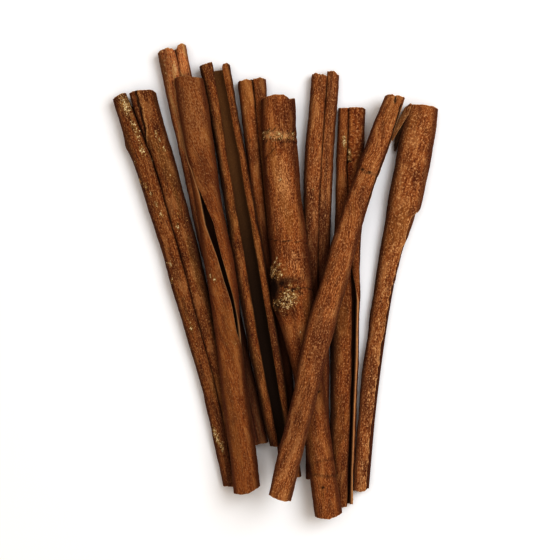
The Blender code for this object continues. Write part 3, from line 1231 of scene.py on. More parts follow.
DARK_BARK = BarkFinish(
    slot=Slot.DARK, deep="34100d", dark="5d2a14", middle="844d22", light="af7d4d",
    worn="c39764", olive="795328", lining="472816",
)
# For the open channel: its lining is paler than the others, painted light on the inside of the channel.
OPEN_BARK = BarkFinish(
    slot=Slot.DARK, deep="34100d", dark="5f2b15", middle="874f23", light="af7b49",
    worn="c3955f", olive="795328", lining="7d5730",
)
# Worn, paler bark for the stick under the wide split quill; its dark and middle tones are also raised,
# painted light against the shade that falls on it.
WORN_BARK_WITH_PAINTED_LIGHT = BarkFinish(
    slot=Slot.DARK, deep="481913", dark="924b2a", middle="cb8751", light="cda66f",
    worn="dcb988", olive="93683c", lining="502d19",
)
BROWN_BARK = BarkFinish(
    slot=Slot.BROWN, deep="3e140a", dark="673014", middle="915427", light="be8750",
    worn="d4a16e", olive="8b5a29", lining="482613",
)
EVEN_BARK = BarkFinish(
    slot=Slot.BROWN, deep="491c0e", dark="6b3717", middle="8e5427", light="ac7845",
    worn="aa835a", olive="8b5b2d", lining="2b150d", mottling=0.85,
)
SMOOTH_BARK = BarkFinish(
    slot=Slot.BROWN, deep="46180d", dark="763f1c", middle="9f6130", light="c18c55",
    worn="d0a16e", olive="956736", lining="482614", mottling=0.6,
)
WARM_BARK = BarkFinish(
    slot=Slot.WARM, deep="43170e", dark="6e3819", middle="975c2f", light="c28e5b",
    worn="dcac78", olive="926131", lining="492414",
)


# ---------------------------------------------------------------- a stick


@dataclass(frozen=True)
class Stick:
    """One cinnamon stick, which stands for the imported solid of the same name."""

    name: str
    scroll: DoubleScroll | SingleScroll
    finish: BarkFinish
    seed: int
    bark: float = 1.1
    relief: Relief = Relief()
    thick_end: EndCut = EndCut()
    thin_end: EndCut = EndCut(seed=2)
    marks: tuple[Patch | Crack | Crease | Flecks | Sprinkle | Knot, ...] = ()

    def rows(self, length: float) -> np.ndarray:
        """Spread the rows along the stick, closer together at its ends."""
        close = np.arange(END_ROWS) * END_STEP
        count = round((length - 2 * END_ROWS * END_STEP) / ROW_STEP)
        middle = np.linspace(END_ROWS * END_STEP, length - END_ROWS * END_STEP, count + 1)
        return np.concatenate((close, middle, (length - close)[::-1]))

    def strip(self, course: Course) -> Strip:
        """Lay out the flat strip on the stick's course, with its ends cut.

        Args:
            course: The stick's course.

        Returns:
            The strip, without marks.
        """
        length = course.length()
        rows = self.rows(length)
        _, parts = self.scroll.columns()
        square = np.broadcast_to(rows[:, None], (len(rows), len(parts)))
        first = self._end(course, parts, 0.0, course.slants[0], self.thick_end, 1.0)
        last = self._end(course, parts, length, course.slants[1], self.thin_end, -1.0)
        near = np.clip(1 - square / 25.0, 0, 1) ** 2
        far = np.clip(1 - (length - square) / 25.0, 0, 1) ** 2
        along = square + first * near + last * far
        laid = self.scroll.lay_out(course, self.bark, along)
        step = np.abs(np.diff(laid["angle"][len(rows) // 2])) * radians(1.0)
        radius = laid["reach_across"][len(rows) // 2].mean()
        steps = np.where(step > 0, step * radius, 2 * radius / WEB_COLUMNS)
        arc = np.broadcast_to(np.concatenate(([0.0], np.cumsum(steps))), along.shape)
        if laid["lost"].any():
            arc = laid["turned"] * radians(360.0) * radius
        return Strip(along=along, arc=arc, **laid)

    def _end(
        self,
        course: Course,
        parts: np.ndarray,
        along: float,
        slant: float,
        cut: EndCut,
        inward: float,
    ) -> np.ndarray:
        """Find how far each column's end lies from the square end of the stick.

        Args:
            course: The stick's course.
            parts: Number of the part that each column is on.
            along: Where the square end is.
            slant: Lean of the end, for each mm across.
            cut: How the end is cut and worn.
            inward: 1 where inward runs ahead, -1 where it runs back.

        Returns:
            Millimetres ahead of the square end, for each column.
        """
        laid = self.scroll.lay_out(course, self.bark, np.full((1, len(parts)), along))
        _, side, _ = course.frame_at(np.array([along]))
        middle = (laid["axis"][0] - course.centre_at(np.array([along]))) @ side[0]
        pitch = self.bark + self.scroll.layer_gap
        reach = laid["reach_across"][0] - pitch * laid["turned"][0]
        swing = reach * np.cos(np.radians(laid["angle"][0])) * (laid["side_way"][0] @ side[0])
        across = middle + swing
        half = course.read_at(course.width, np.array([along]))[0] / 2
        lost = cut.lost(across / half, parts, laid["turned"][0])
        return slant * across + inward * lost

    def build(
        self, node: bpy.types.Object, roller: BarkRoller, shelter: Shelter
    ) -> bpy.types.Object:
        """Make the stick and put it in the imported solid's place.

        Args:
            node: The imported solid.
            roller: The tree that rolls up the bark.
            shelter: Tells how far the other sticks hide the sky.

        Returns:
            The finished piece.
        """
        strip = self.strip(Course.read(node))
        for mark in self.marks:
            mark.mark(strip)
        strip.shelter(self.name, self.bark + self.scroll.layer_gap, shelter)
        piece = strip.piece(self.name + "_bark", self.seed)
        roller.roll(piece, self.bark, self.scroll.layer_gap, self.relief, self.seed,
                    self.finish.material(self.name, self.seed * 3.7))
        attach(piece, "root")
        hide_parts(self.name)
        LOG.info("%s: %d faces", piece.name, len(piece.data.polygons))
        return piece


@dataclass(frozen=True)
class Sliver:
    """A thin splinter of bark that stands off its stick.

    Its path gives distance along the stick, millimetres to the right of the centre
    line, height over the stick's underside, width, and degrees that it leans.
    """

    name: str
    stick: str
    path: tuple[tuple[float, float, float, float, float], ...]
    thickness: float = 0.5
    # dark darkens the whole splinter; on the inner splinter it is painted shade.
    dark: float = 0.0           # stain
    bow: float = 0.25           # how far its middle stands over its sides
    columns: int = 6
    row_step: float = 0.45
    seed: int = 1

    def strip(self, course: Course) -> Strip:
        """Lay out the splinter beside its stick.

        Args:
            course: The stick's course.

        Returns:
            The splinter's strip.
        """
        path = np.array(self.path)
        rows = np.arange(path[0, 0], path[-1, 0], self.row_step)
        place = np.linspace(1.0, -1.0, self.columns)[None, :]
        along = np.broadcast_to(rows[:, None], (len(rows), self.columns))
        across, height, width, lean = (np.interp(along, path[:, 0], path[:, i])
                                       for i in (1, 2, 3, 4))
        out = place * width / 2 * (1 + 0.2 * wander(along + 9 * place, 1.3, self.seed))
        bow = self.bow * (1 - place ** 2)
        sine, cosine = np.sin(np.radians(lean)), np.cos(np.radians(lean))
        _, side, up = course.frame_at(along)
        spot = course.centre_at(along) + side * (across + out * cosine - bow * sine)[..., None]
        nothing = np.zeros_like(along)
        return Strip(
            along=along,
            arc=out,
            part=np.full(self.columns, Part.WHOLE.value),
            turned=nothing,
            angle=nothing + 90.0,
            reach_across=nothing,
            reach_up=nothing,
            axis=spot + up * (height + out * sine + bow * cosine)[..., None],
            side_way=side,
            up_way=up,
            lost=nothing,
        )

    def build(self, stick: Stick, node: bpy.types.Object, roller: BarkRoller) -> None:
        """Make the splinter beside its stick.

        Args:
            stick: The stick that the splinter belongs to.
            node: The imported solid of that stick.
            roller: The tree that gives bark its thickness and roughness.
        """
        strip = self.strip(Course.read(node))
        strip.lay(Coat.DARK, np.full_like(strip.along, self.dark))
        piece = strip.piece(self.name, stick.seed + 0.5)
        roller.roll(piece, self.thickness, LAYER_GAP, Relief(sag=0.1, ridge=0.06), stick.seed,
                    stick.finish.material(self.name, stick.seed * 3.7))
        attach(piece, "root")
        LOG.info("%s: %d faces", piece.name, len(piece.data.polygons))


class LichenScales:
    """Small crusty scales that a Geometry Nodes tree strews where lichen grows."""

    def __init__(self, size_mm: float = 0.42, per_square_mm: float = 4.5, seed: int = 17) -> None:
        """Make the tree.

        Args:
            size_mm: Width of a middling scale.
            per_square_mm: Scales on a square millimetre at the lichen's thickest.
            seed: Fixes their places.
        """
        self.material = self._finish()
        self.tree = bpy.data.node_groups.new("lichen_scales", "GeometryNodeTree")
        self.sockets: dict[str, str] = {}
        for name, kind, value in (
            ("Bark", "NodeSocketGeometry", None),
            ("Scale width", "NodeSocketFloat", size_mm * MM),
            ("Scales per square metre", "NodeSocketFloat", per_square_mm / MM ** 2),
            ("Seed", "NodeSocketInt", seed),
            ("Lichen", "NodeSocketMaterial", self.material),
        ):
            socket = self.tree.interface.new_socket(name=name, in_out="INPUT", socket_type=kind)
            if value is not None:
                socket.default_value = value
            self.sockets[name] = socket.identifier
        self.tree.interface.new_socket(
            name="Scales", in_out="OUTPUT", socket_type="NodeSocketGeometry")
        self._build()

    def _build(self) -> None:
        """Scatter, size, turn and realize the scales."""
        tree = self.tree
        given = tree.nodes.new("NodeGroupInput").outputs
        marks = add(tree, "GeometryNodeInputNamedAttribute",
                    {"data_type": "FLOAT_VECTOR"}, {"Name": "marks"})
        lichen = add(tree, "ShaderNodeSeparateXYZ", None, {0: marks.outputs["Attribute"]})
        shell = add(tree, "GeometryNodeInputNamedAttribute",
                    {"data_type": "FLOAT"}, {"Name": "shell"})
        outside = add(tree, "FunctionNodeCompare", {"operation": "GREATER_THAN"},
                      {0: shell.outputs["Attribute"], 1: 0.9})
        share = add(tree, "ShaderNodeMapRange", None,
                    {"Value": lichen.outputs["X"], "From Min": 0.4, "From Max": 1.0})
        density = add(tree, "ShaderNodeMath", {"operation": "MULTIPLY"},
                      {0: share.outputs[0], 1: given["Scales per square metre"]})
        points = add(tree, "GeometryNodeDistributePointsOnFaces", None,
                     {"Mesh": given["Bark"], "Selection": outside.outputs[0],
                      "Density": density.outputs[0], "Seed": given["Seed"]})
        scale = add(tree, "GeometryNodeMeshIcoSphere", None,
                    {"Radius": given["Scale width"], "Subdivisions": 1})
        uneven = add(tree, "FunctionNodeRandomValue", {"data_type": "FLOAT_VECTOR"},
                     {"Min": (0.35, 0.3, 0.14), "Max": (1.0, 0.75, 0.4)})
        turn = add(tree, "FunctionNodeRandomValue", {"data_type": "FLOAT_VECTOR"},
                   {"Min": (-0.4, -0.4, 0.0), "Max": (0.4, 0.4, 6.28)})
        facing = add(tree, "FunctionNodeRotateRotation", {"rotation_space": "LOCAL"},
                     {0: points.outputs["Rotation"], 1: turn.outputs["Value"]})
        laid = add(tree, "GeometryNodeInstanceOnPoints", None,
                   {"Points": points.outputs["Points"], "Instance": scale.outputs["Mesh"],
                    "Rotation": facing.outputs[0], "Scale": uneven.outputs["Value"]})
        real = add(tree, "GeometryNodeRealizeInstances", None, {"Geometry": laid.outputs[0]})
        clad = add(tree, "GeometryNodeSetMaterial", None,
                   {"Geometry": real.outputs[0], "Material": given["Lichen"]})
        out = tree.nodes.new("NodeGroupOutput")
        tree.links.new(clad.outputs[0], out.inputs[0])

    @staticmethod
    def _finish() -> bpy.types.Material:
        """Make the material: dead lichen, chalky, from grey-tan to cream."""
        material = bpy.data.materials.new("dead_crustose_lichen")
        material.use_nodes = True
        tree = material.node_tree
        shader = tree.nodes["Principled BSDF"]
        place = tree.nodes.new("ShaderNodeTexCoord").outputs["Object"]
        # Tone changes from scale to scale, every 1.2 mm.
        noise = add(tree, "ShaderNodeTexNoise", None,
                    {"Vector": place, "Scale": 1 / (1.2 * MM), "Detail": 2.0})
        ramp = add(tree, "ShaderNodeValToRGB", None, {"Fac": noise.outputs[0]})
        stops = ramp.color_ramp.elements
        stops[0].position, stops[0].color = 0.36, linear("5a3a1a")
        stops[1].position, stops[1].color = 0.66, linear("e2cfa2")
        stops.new(0.5).color = linear("a67c46")
        tree.links.new(ramp.outputs["Color"], shader.inputs["Base Color"])
        shader.inputs["Roughness"].default_value = 0.95
        shader.inputs["Specular IOR Level"].default_value = 0.1
        return material

    def strew(self, pieces: Sequence[bpy.types.Object]) -> None:
        """Strew scales over pieces of bark, as one piece.

        Args:
            pieces: Finished pieces that carry the marks.
        """
        corners: list[np.ndarray] = []
        faces: list[np.ndarray] = []
        start = 0
        for piece in pieces:
            holder = bpy.data.objects.new("lichen_holder", piece.data.copy())
            bpy.context.scene.collection.objects.link(holder)
            modifier = holder.modifiers.new("lichen_scales", "NODES")
            modifier.node_group = self.tree
            make_plain(holder)
            mesh = holder.data
            spots = np.empty(len(mesh.vertices) * 3)
            mesh.vertices.foreach_get("co", spots)
            rings = np.empty(len(mesh.loops), dtype=int)
            mesh.loops.foreach_get("vertex_index", rings)
            corners.append(spots.reshape(-1, 3))
            faces.append(rings.reshape(-1, 3) + start)
            start += len(mesh.vertices)
            bpy.data.objects.remove(holder, do_unlink=True)
        mesh = bpy.data.meshes.new("lichen_scales")
        mesh.from_pydata(np.concatenate(corners).tolist(), [], np.concatenate(faces).tolist())
        mesh.materials.append(self.material)
        scales = bpy.data.objects.new("lichen_scales", mesh)
        bpy.context.scene.collection.objects.link(scales)
        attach(scales, "root")
        LOG.info("%s: %d faces", scales.name, len(mesh.polygons))


# ---------------------------------------------------------------- the ten sticks

THIN_BARK = 0.95

STICKS = (
    # Wide, dark and flecked with lichen; its rolls part in a V at the thick end.
    Stick(
        name="far_left_double_quill",
        scroll=DoubleScroll(
            left_share=0.46,
            mouth=((68.0, 1.6), (20.0, 0.4)),
            seen_share=((67.0, 0.36), (44.0, 0.5), (20.0, 0.48)),
            seen_mouth=((69.0, 1.6), (62.0, 0.7), (50.0, 0.25), (40.0, 0.1)),
        ),
        finish=DARK_BARK,
        seed=1,
        thick_end=EndCut(
            left=((-1.05, 2.2), (-0.77, 1.3), (-0.5, 0.3), (-0.37, 0.5), (-0.34, 3.0)),
            right=((-0.25, 1.8), (-0.1, 0.4), (0.16, -0.1), (0.84, 0.2), (0.91, 0.8), (0.98, 2.3)),
            web=4.8,
        ),
        thin_end=EndCut(left=((-1.0, 0.9), (-0.8, 0.3), (-0.25, -0.3)), seed=2),
        marks=(
            # Painted shade along the right roll, beside the higher sticks.
            Patch(Coat.DARK, 70.0, 60.0, 170.0, 5.0, 0.42, Part.RIGHT),
            Patch(Coat.LICHEN, 4.0, 108.0, 12.0, 5.4, 1.15, Part.LEFT),
            Patch(Coat.LICHEN, 13.0, 112.0, 14.0, 3.6, 0.85, Part.LEFT),
            Patch(Coat.LICHEN, 20.5, 108.0, 9.0, 3.8, 0.85, Part.LEFT),
            Flecks(((31.5, 22.0), (34.0, 57.0), (37.0, 71.0), (45.0, 99.0), (87.0, 78.0),
                    (25.0, 150.0), (41.0, 84.0), (63.0, 62.0)), part=Part.LEFT),
            Flecks(((17.0, 78.0), (19.5, 72.0), (23.0, 64.0), (51.0, 110.0)),
                   length=3.0, part=Part.RIGHT),
            Flecks(((125.0, 43.0), (131.0, 85.0), (128.0, 60.0)), length=6.0, width=2.2,
                   part=Part.LEFT),
            Sprinkle((22.0, 100.0), (10.0, 110.0), 34, 11, part=Part.LEFT),
            Sprinkle((12.0, 60.0), (40.0, 120.0), 12, 12, part=Part.RIGHT),
            Crack(((-1.0, 116.0), (7.4, 117.0), (14.2, 128.0), (18.0, 146.0), (22.0, 168.0)),
                  width=0.95, depth=0.9, part=Part.RIGHT, lip=0.3, seed=21),
            Patch(Coat.RELIEF, 18.0, -6.0, 5.0, 4.0, 0.6, Part.LEFT),
        ),
    ),
    Stick(
        name="back_left_double_quill",
        scroll=DoubleScroll(
            left_share=0.56, seen_share=((84.0, 0.62), (40.0, 0.56)), seen_mouth=((80.0, 0.05),),
        ),
        finish=WORN_BARK_WITH_PAINTED_LIGHT,
        seed=2,
        bark=THIN_BARK,
        thick_end=EndCut(
            left=((-1.13, 2.7), (-1.02, 1.0), (-0.69, 0.2), (-0.23, -0.2), (0.02, 0.3), (0.19, 1.7)),
            right=((0.31, 0.9), (0.49, -0.4), (0.7, -1.0), (0.91, -0.2), (0.94, 1.3)),
            seed=3,
        ),
        marks=(
            Patch(Coat.DARK, 5.5, 75.0, 26.0, 11.0, 0.5, Part.LEFT),
            Flecks(((8.4, 50.0), (12.6, 57.0)), part=Part.LEFT, amount=0.7),
            Patch(Coat.WORN, 7.5, 124.0, 8.0, 1.8, 0.9, Part.LEFT),
        ),
    ),
    # The slot between its edges twists from the left side to the right one.
    Stick(
        name="wide_split_quill",
        scroll=SingleScroll(
            turns=0.995,
            free_edge=((74.0, 215.0), (48.0, 182.0), (43.0, 163.0), (40.0, 146.0),
                       (31.5, 126.0), (20.4, 123.0), (14.5, 108.0), (8.5, 94.0), (-0.4, 81.0), (-9.5, 60.0), (-18.6, 46.0), (-22.2, 30.0),
                       (-26.0, 8.0), (-76.0, -45.0)),
            slot=((33.5, 1.0), (31.0, 8.0), (20.5, 40.0), (14.6, 29.0), (8.5, 19.0),
                  (-0.5, 20.0), (-9.4, 21.0), (-18.7, 46.0), (-22.3, 30.0), (-26.0, 1.0)),
            layer_gap=-0.8,
        ),
        finish=EVEN_BARK,
        seed=3,
        thick_end=EndCut(
            left=((-0.98, 1.2), (-0.8, 0.6), (-0.25, 0.2), (0.26, 0.8), (0.87, 1.3), (0.96, 2.0)),
            chips=0.12, seed=4,
        ),
        thin_end=EndCut(
            left=((-1.03, 3.0), (-0.87, 0.4), (-0.44, -0.7), (0.12, -1.2), (0.75, -0.6),
                  (0.99, -0.2)),
            chips=0.15, seed=5,
        ),
        marks=(
            Patch(Coat.WORN, 14.0, 100.0, 50.0, 18.0, 0.6),
            # Painted shade along the lower right side.
            Patch(Coat.DARK, 118.0, 25.0, 70.0, 5.0, 0.5),
            Flecks(((72.8, 119.0), (71.4, 136.0))),
            Sprinkle((60.0, 100.0), (60.0, 140.0), 5, 31),
        ),
    ),
    # The deep channel between its rolls never closed.
    Stick(
        name="open_channel_quill",
        scroll=DoubleScroll(
            left_share=0.53,
            right_turns=0.6,
            mouth=((78.0, 2.2), (-59.0, 1.6)),
            seen_share=((78.0, 0.6), (-59.0, 0.56)),
            seen_mouth=((78.0, 2.9), (62.0, 3.0), (45.0, 3.8), (0.0, 4.0), (-30.0, 3.9),
                        (-59.0, 3.2)),
            shoulder=2.6,
        ),
        finish=OPEN_BARK,
        seed=4,
        bark=THIN_BARK,
        thick_end=EndCut(
            left=((-0.98, 0.7), (-0.74, 0.3), (-0.09, -0.8), (0.01, -0.5)),
            right=((0.52, 1.5), (0.58, 0.3), (0.8, 0.1), (1.01, 1.0), (1.03, 1.7)),
            web=2.1, seed=6,
        ),
        thin_end=EndCut(left=((-1.13, 0.9), (-0.34, -0.5)), seed=7),
        marks=(
            # Painted shade: long dark bands down both rolls and deep in the channel.
            Patch(Coat.DARK, 75.0, 40.0, 400.0, 4.2, 0.62, Part.LEFT),
            Patch(Coat.DARK, 75.0, 20.0, 400.0, 3.0, 0.5, Part.RIGHT),
            Patch(Coat.DARK, 112.0, -90.0, 190.0, 40.0, 0.85, Part.WEB),
            Knot(64.0, -80.0, 3.4, height=0.5, hole=1.2, crust=0.5, part=Part.RIGHT, seed=41),
            Flecks(((58.7, 163.0),), part=Part.LEFT, amount=0.6),
        ),
    ),
    Stick(
        name="centre_back_double_quill",
        scroll=DoubleScroll(
            left_share=0.55, seen_share=((72.0, 0.53),), seen_mouth=((72.0, 0.25), (40.0, 0.05)),
        ),
        finish=SMOOTH_BARK,
        seed=5,
        bark=THIN_BARK,
        thick_end=EndCut(
            left=((-0.99, 1.6), (-0.83, 0.9), (-0.35, 0.5), (0.0, 1.3)),
            right=((0.11, 1.6), (0.2, 0.5), (0.54, 0.2), (0.93, 1.1), (1.0, 1.8)),
            seed=8,
        ),
        marks=(
            Patch(Coat.DARK, 22.4, 71.0, 2.4, 1.6, 0.6, Part.LEFT),
            # Painted shade along the right roll, which lies under the next stick's edge.
            Patch(Coat.DARK, 75.0, 80.0, 400.0, 9.0, 0.42, Part.RIGHT),
        ),
    ),
    # Thick, with a scarred band near its end and a crusted knot halfway.
    Stick(
        name="knotted_centre_quill",
        scroll=SingleScroll(turns=1.25, free_edge=((66.0, -40.0),)),
        finish=BROWN_BARK,
        seed=6,
        thick_end=EndCut(
            left=((-1.03, 1.2), (-0.77, 0.4), (-0.26, -0.3), (0.32, -0.2), (0.57, 0.9),
                  (0.66, 1.6), (0.74, 1.0), (0.99, 0.7)),
            seed=9,
        ),
        thin_end=EndCut(
            left=((-1.08, 2.5), (-0.89, 0.8), (-0.03, -0.4), (0.6, 0.3), (0.99, 1.1)), seed=10,
        ),
        marks=(
            Crease((11.6, 176.0), (14.6, 20.0), 1.1, 0.25, 0.5, wave=0.6, seed=61),
            Crease((14.4, 176.0), (17.2, 20.0), 1.0, 0.2, 0.5, wave=0.6, seed=62),
            Patch(Coat.WORN, 14.2, 95.0, 4.0, 14.0, 1.2, lean=-1.5),
            Sprinkle((12.4, 14.8), (80.0, 160.0), 40, 161, amount=(0.9, 1.3), size=(0.4, 0.8)),
            Sprinkle((13.4, 16.2), (30.0, 110.0), 40, 162, amount=(0.9, 1.3), size=(0.4, 0.8)),
            Sprinkle((11.6, 17.0), (25.0, 165.0), 26, 163, Coat.DARK, amount=(0.6, 0.9),
                     size=(0.6, 1.1)),
            Crease((19.6, 114.0), (16.8, 79.0), 0.8, 0.2, 0.6, wave=0.2, seed=63),
            Patch(Coat.WORN, 31.0, 84.0, 21.0, 6.0, 0.8, lean=-0.08),
            Patch(Coat.WORN, 42.0, 110.0, 12.0, 7.0, 0.4),
            Patch(Coat.WORN, 60.0, 75.0, 16.0, 5.0, 0.5),
            Sprinkle((22.0, 48.0), (65.0, 115.0), 110, 164, Coat.WORN, amount=(0.7, 1.0),
                     size=(0.35, 0.8), stretch=4.0),
            Sprinkle((50.0, 66.0), (50.0, 100.0), 50, 165, Coat.WORN, amount=(0.6, 1.0),
                     size=(0.35, 0.8), stretch=4.0),
            Sprinkle((95.0, 145.0), (50.0, 120.0), 90, 166, Coat.WORN, amount=(0.5, 0.9),
                     size=(0.35, 0.8), stretch=3.0),
            Crease((51.9, 93.0), (52.6, 52.0), 0.7, 0.25, 0.7, wave=0.25, seed=64),
            Flecks(((57.5, 135.0), (58.9, 142.0), (84.0, 86.0), (30.0, 92.0)),
                   length=1.6, width=1.0),
            Crease((33.0, 20.0), (31.0, 60.0), 1.0, 0.2, 0.5, wave=0.2, seed=65),
            Patch(Coat.RELIEF, 69.0, 125.0, 13.0, 11.0, 0.2),
            Patch(Coat.DARK, 67.5, 150.0, 14.0, 9.0, 0.95),
            Patch(Coat.DARK, 66.0, 112.0, 5.0, 13.0, 0.7, lean=0.6),
            Patch(Coat.DARK, 76.5, 120.0, 6.0, 12.0, 0.45),
            Knot(62.8, 146.0, 6.5, height=0.3, crust=1.0, seed=67),
            Knot(65.8, 130.0, 3.6, height=0.3, crust=0.7, seed=71),
            Knot(70.2, 96.0, 6.4, height=0.2, crust=1.0, seed=68),
            Knot(72.0, 118.0, 7.0, height=0.2, crust=1.05, seed=69),
            Knot(73.0, 144.0, 6.0, height=0.3, crust=0.85, seed=78),
            Knot(68.3, 146.0, 4.0, height=0.2, hole=4.4, crust=0.3, seed=66),
            Knot(66.6, 116.0, 2.0, height=0.1, hole=2.2, crust=0.3, seed=79),
            Crease((68.4, 100.0), (69.4, 30.0), 0.9, 0.3, 0.75, wave=0.3, seed=77),
            Knot(98.0, 121.0, 3.0, height=0.25, hole=1.0, crust=0.3, seed=72),
            Knot(106.0, 51.0, 2.8, height=0.25, hole=0.9, crust=0.3, seed=73),
            Crease((134.6, 150.0), (136.0, 50.0), 2.0, 0.15, 0.5, wave=0.4, seed=74),
            Crease((131.0, 140.0), (130.2, 40.0), 1.6, 0.12, 0.45, wave=0.4, seed=75),
            Patch(Coat.DARK, 128.0, 140.0, 26.0, 5.0, 0.45),
            Knot(139.5, 93.0, 3.0, height=0.2, hole=0.9, crust=0.3, seed=76),
        ),
    ),
    Stick(
        name="centre_right_double_quill",
        scroll=DoubleScroll(
            left_share=0.55, seen_share=((73.0, 0.57),), seen_mouth=((73.0, 0.15), (50.0, 0.05)),
        ),
        finish=WARM_BARK,
        seed=7,
        bark=THIN_BARK,
        thick_end=EndCut(
            left=((-0.91, 1.8), (-0.88, 0.6), (-0.63, -0.1), (-0.5, 0.7), (-0.42, 0.2),
                  (-0.2, 0.4), (0.11, 1.0)),
            right=((0.18, -0.8), (0.39, -1.1), (0.59, -1.0), (0.8, -0.3), (0.99, 0.4), (1.02, 1.0)),
            chips=0.4, seed=11,
        ),
        marks=(
            Flecks(((41.9, 92.0),), length=1.6, width=1.2, part=Part.LEFT),
            Sprinkle((5.0, 70.0), (50.0, 120.0), 110, 71, Coat.WORN, Part.LEFT,
                     size=(0.35, 0.8), stretch=3.0),
            Sprinkle((5.0, 60.0), (40.0, 130.0), 90, 72, Coat.WORN, Part.RIGHT,
                     size=(0.35, 0.8), stretch=3.0),
        ),
    ),
    Stick(
        name="right_back_double_quill",
        scroll=DoubleScroll(
            left_share=0.42,
            seen_share=((61.0, 0.37), (40.0, 0.38), (12.0, 0.62), (-7.0, 0.75), (-34.0, 0.75), (-66.0, 0.72)),
            seen_mouth=((61.0, 0.1), (30.0, 0.1), (5.0, 0.5), (-25.0, 0.3), (-34.0, 0.0)),
            left_beyond=((20.0, 0.0), (0.0, 0.9), (-60.0, 0.9), (-68.0, 0.0)),
        ),
        finish=BROWN_BARK,
        seed=8,
        bark=THIN_BARK,
        thick_end=EndCut(
            left=((-0.99, 1.1), (-0.91, 0.5), (-0.29, 0.4)),
            right=((-0.2, 0.3), (0.69, 0.2), (0.97, 0.8)),
            chips=0.12, seed=12,
        ),
        thin_end=EndCut(left=((0.03, -0.5), (0.94, -0.2)), right=((0.9, 0.3), (1.0, 0.9)), seed=13),
        marks=(
            Patch(Coat.LICHEN, 12.6, 100.0, 7.0, 2.6, 1.25, Part.LEFT),
            Patch(Coat.LICHEN, 17.2, 138.0, 5.5, 2.8, 1.4, Part.RIGHT),
            Crease((19.8, 110.0), (19.8, 170.0), 0.8, 0.4, 0.9, Part.RIGHT, 0.1, seed=81),
            # Painted shade along the left roll.
            Patch(Coat.DARK, 90.0, 30.0, 130.0, 6.0, 0.62, Part.LEFT),
            Crease((85.0, 50.0), (85.0, 120.0), 0.6, 0.12, 0.4, Part.LEFT, seed=83),
            Crease((87.2, 50.0), (87.2, 120.0), 0.6, 0.12, 0.4, Part.LEFT, seed=84),
        ),
    ),
    Stick(
        name="top_diagonal_quill",
        scroll=SingleScroll(
            turns=1.3,
            free_edge=((63.0, 29.0), (60.0, 42.0), (55.0, 40.0), (49.5, 22.0), (45.0, 8.0),
                       (41.0, 22.0), (31.0, 25.0), (27.0, 18.0), (23.5, -13.0), (15.0, -40.0)),
        ),
        finish=WARM_BARK,
        seed=9,
        bark=THIN_BARK,
        thick_end=EndCut(
            left=((-0.88, 0.9), (-0.44, -0.3), (-0.05, -0.1), (0.27, -0.7), (0.81, -1.0),
                  (1.02, 0.3)),
            seed=14,
        ),
        thin_end=EndCut(
            left=((-1.09, -0.1), (-0.31, -0.8), (0.4, -0.8), (1.02, -0.1)), seed=15,
        ),
        marks=(
            Crack(((-0.5, 90.0), (3.4, 78.0)), width=0.7, depth=0.35, seed=91),
            Crack(((1.0, 36.0), (4.5, 49.0), (10.0, 47.0), (16.0, 30.0), (21.0, 16.0),
                   (25.5, 29.0), (36.5, 32.0), (41.0, 26.0)), width=0.6, depth=0.3, seed=93),
            Crease((28.4, 170.0), (29.0, 56.0), 1.5, 0.15, 0.5, wave=0.5, seed=92),
            Patch(Coat.DARK, 118.0, 95.0, 60.0, 16.0, 0.4),
            # Painted shade down the left side.
            Patch(Coat.DARK, 70.0, 172.0, 200.0, 4.0, 0.4),
            Flecks(((28.6, 121.0), (29.0, 81.0)), Coat.DARK, 1.5, 1.6, 0.95),
            Patch(Coat.RELIEF, 27.0, 100.0, 6.0, 9.0, 0.15),
            Flecks(((122.7, 82.0),), length=1.8, width=1.2, amount=0.6),
        ),
    ),
    # Its outer layer has torn off along the right side.
    Stick(
        name="right_torn_quill",
        scroll=SingleScroll(
            turns=1.5,
            free_edge=((63.0, -60.0),),
            tear=Tear(path=(
                (36.6, 0.0), (36.7, 0.18), (38.0, 0.233), (38.5, 0.269), (39.5, 0.303),
                (41.0, 0.308), (43.2, 0.317), (46.0, 0.317), (49.5, 0.3), (53.0, 0.3),
                (56.5, 0.32), (70.0, 0.34), (81.5, 0.33), (86.8, 0.35), (106.8, 0.345),
                (121.0, 0.36), (136.0, 0.365),
            )),
        ),
        finish=WARM_BARK,
        seed=10,
        bark=THIN_BARK,
        thick_end=EndCut(left=((-0.88, 0.5), (-0.07, -0.3), (0.6, -0.4), (1.06, 0.1)), seed=16),
        thin_end=EndCut(left=((-0.85, -0.2), (-0.04, -0.4), (0.84, 0.4)), seed=17),
        marks=(
            Sprinkle((30.0, 140.0), (50.0, 105.0), 260, 101, Coat.WORN, amount=(0.6, 1.0),
                     size=(0.35, 0.8), stretch=3.5),
            Sprinkle((3.0, 40.0), (20.0, 130.0), 120, 102, Coat.WORN, amount=(0.4, 0.9),
                     size=(0.35, 0.8), stretch=3.0),
            Patch(Coat.DARK, 36.2, 8.0, 1.8, 2.2, 0.7),
            # Painted shade down the left side.
            Patch(Coat.DARK, 70.0, 168.0, 200.0, 5.5, 0.5),
        ),
    ),
)


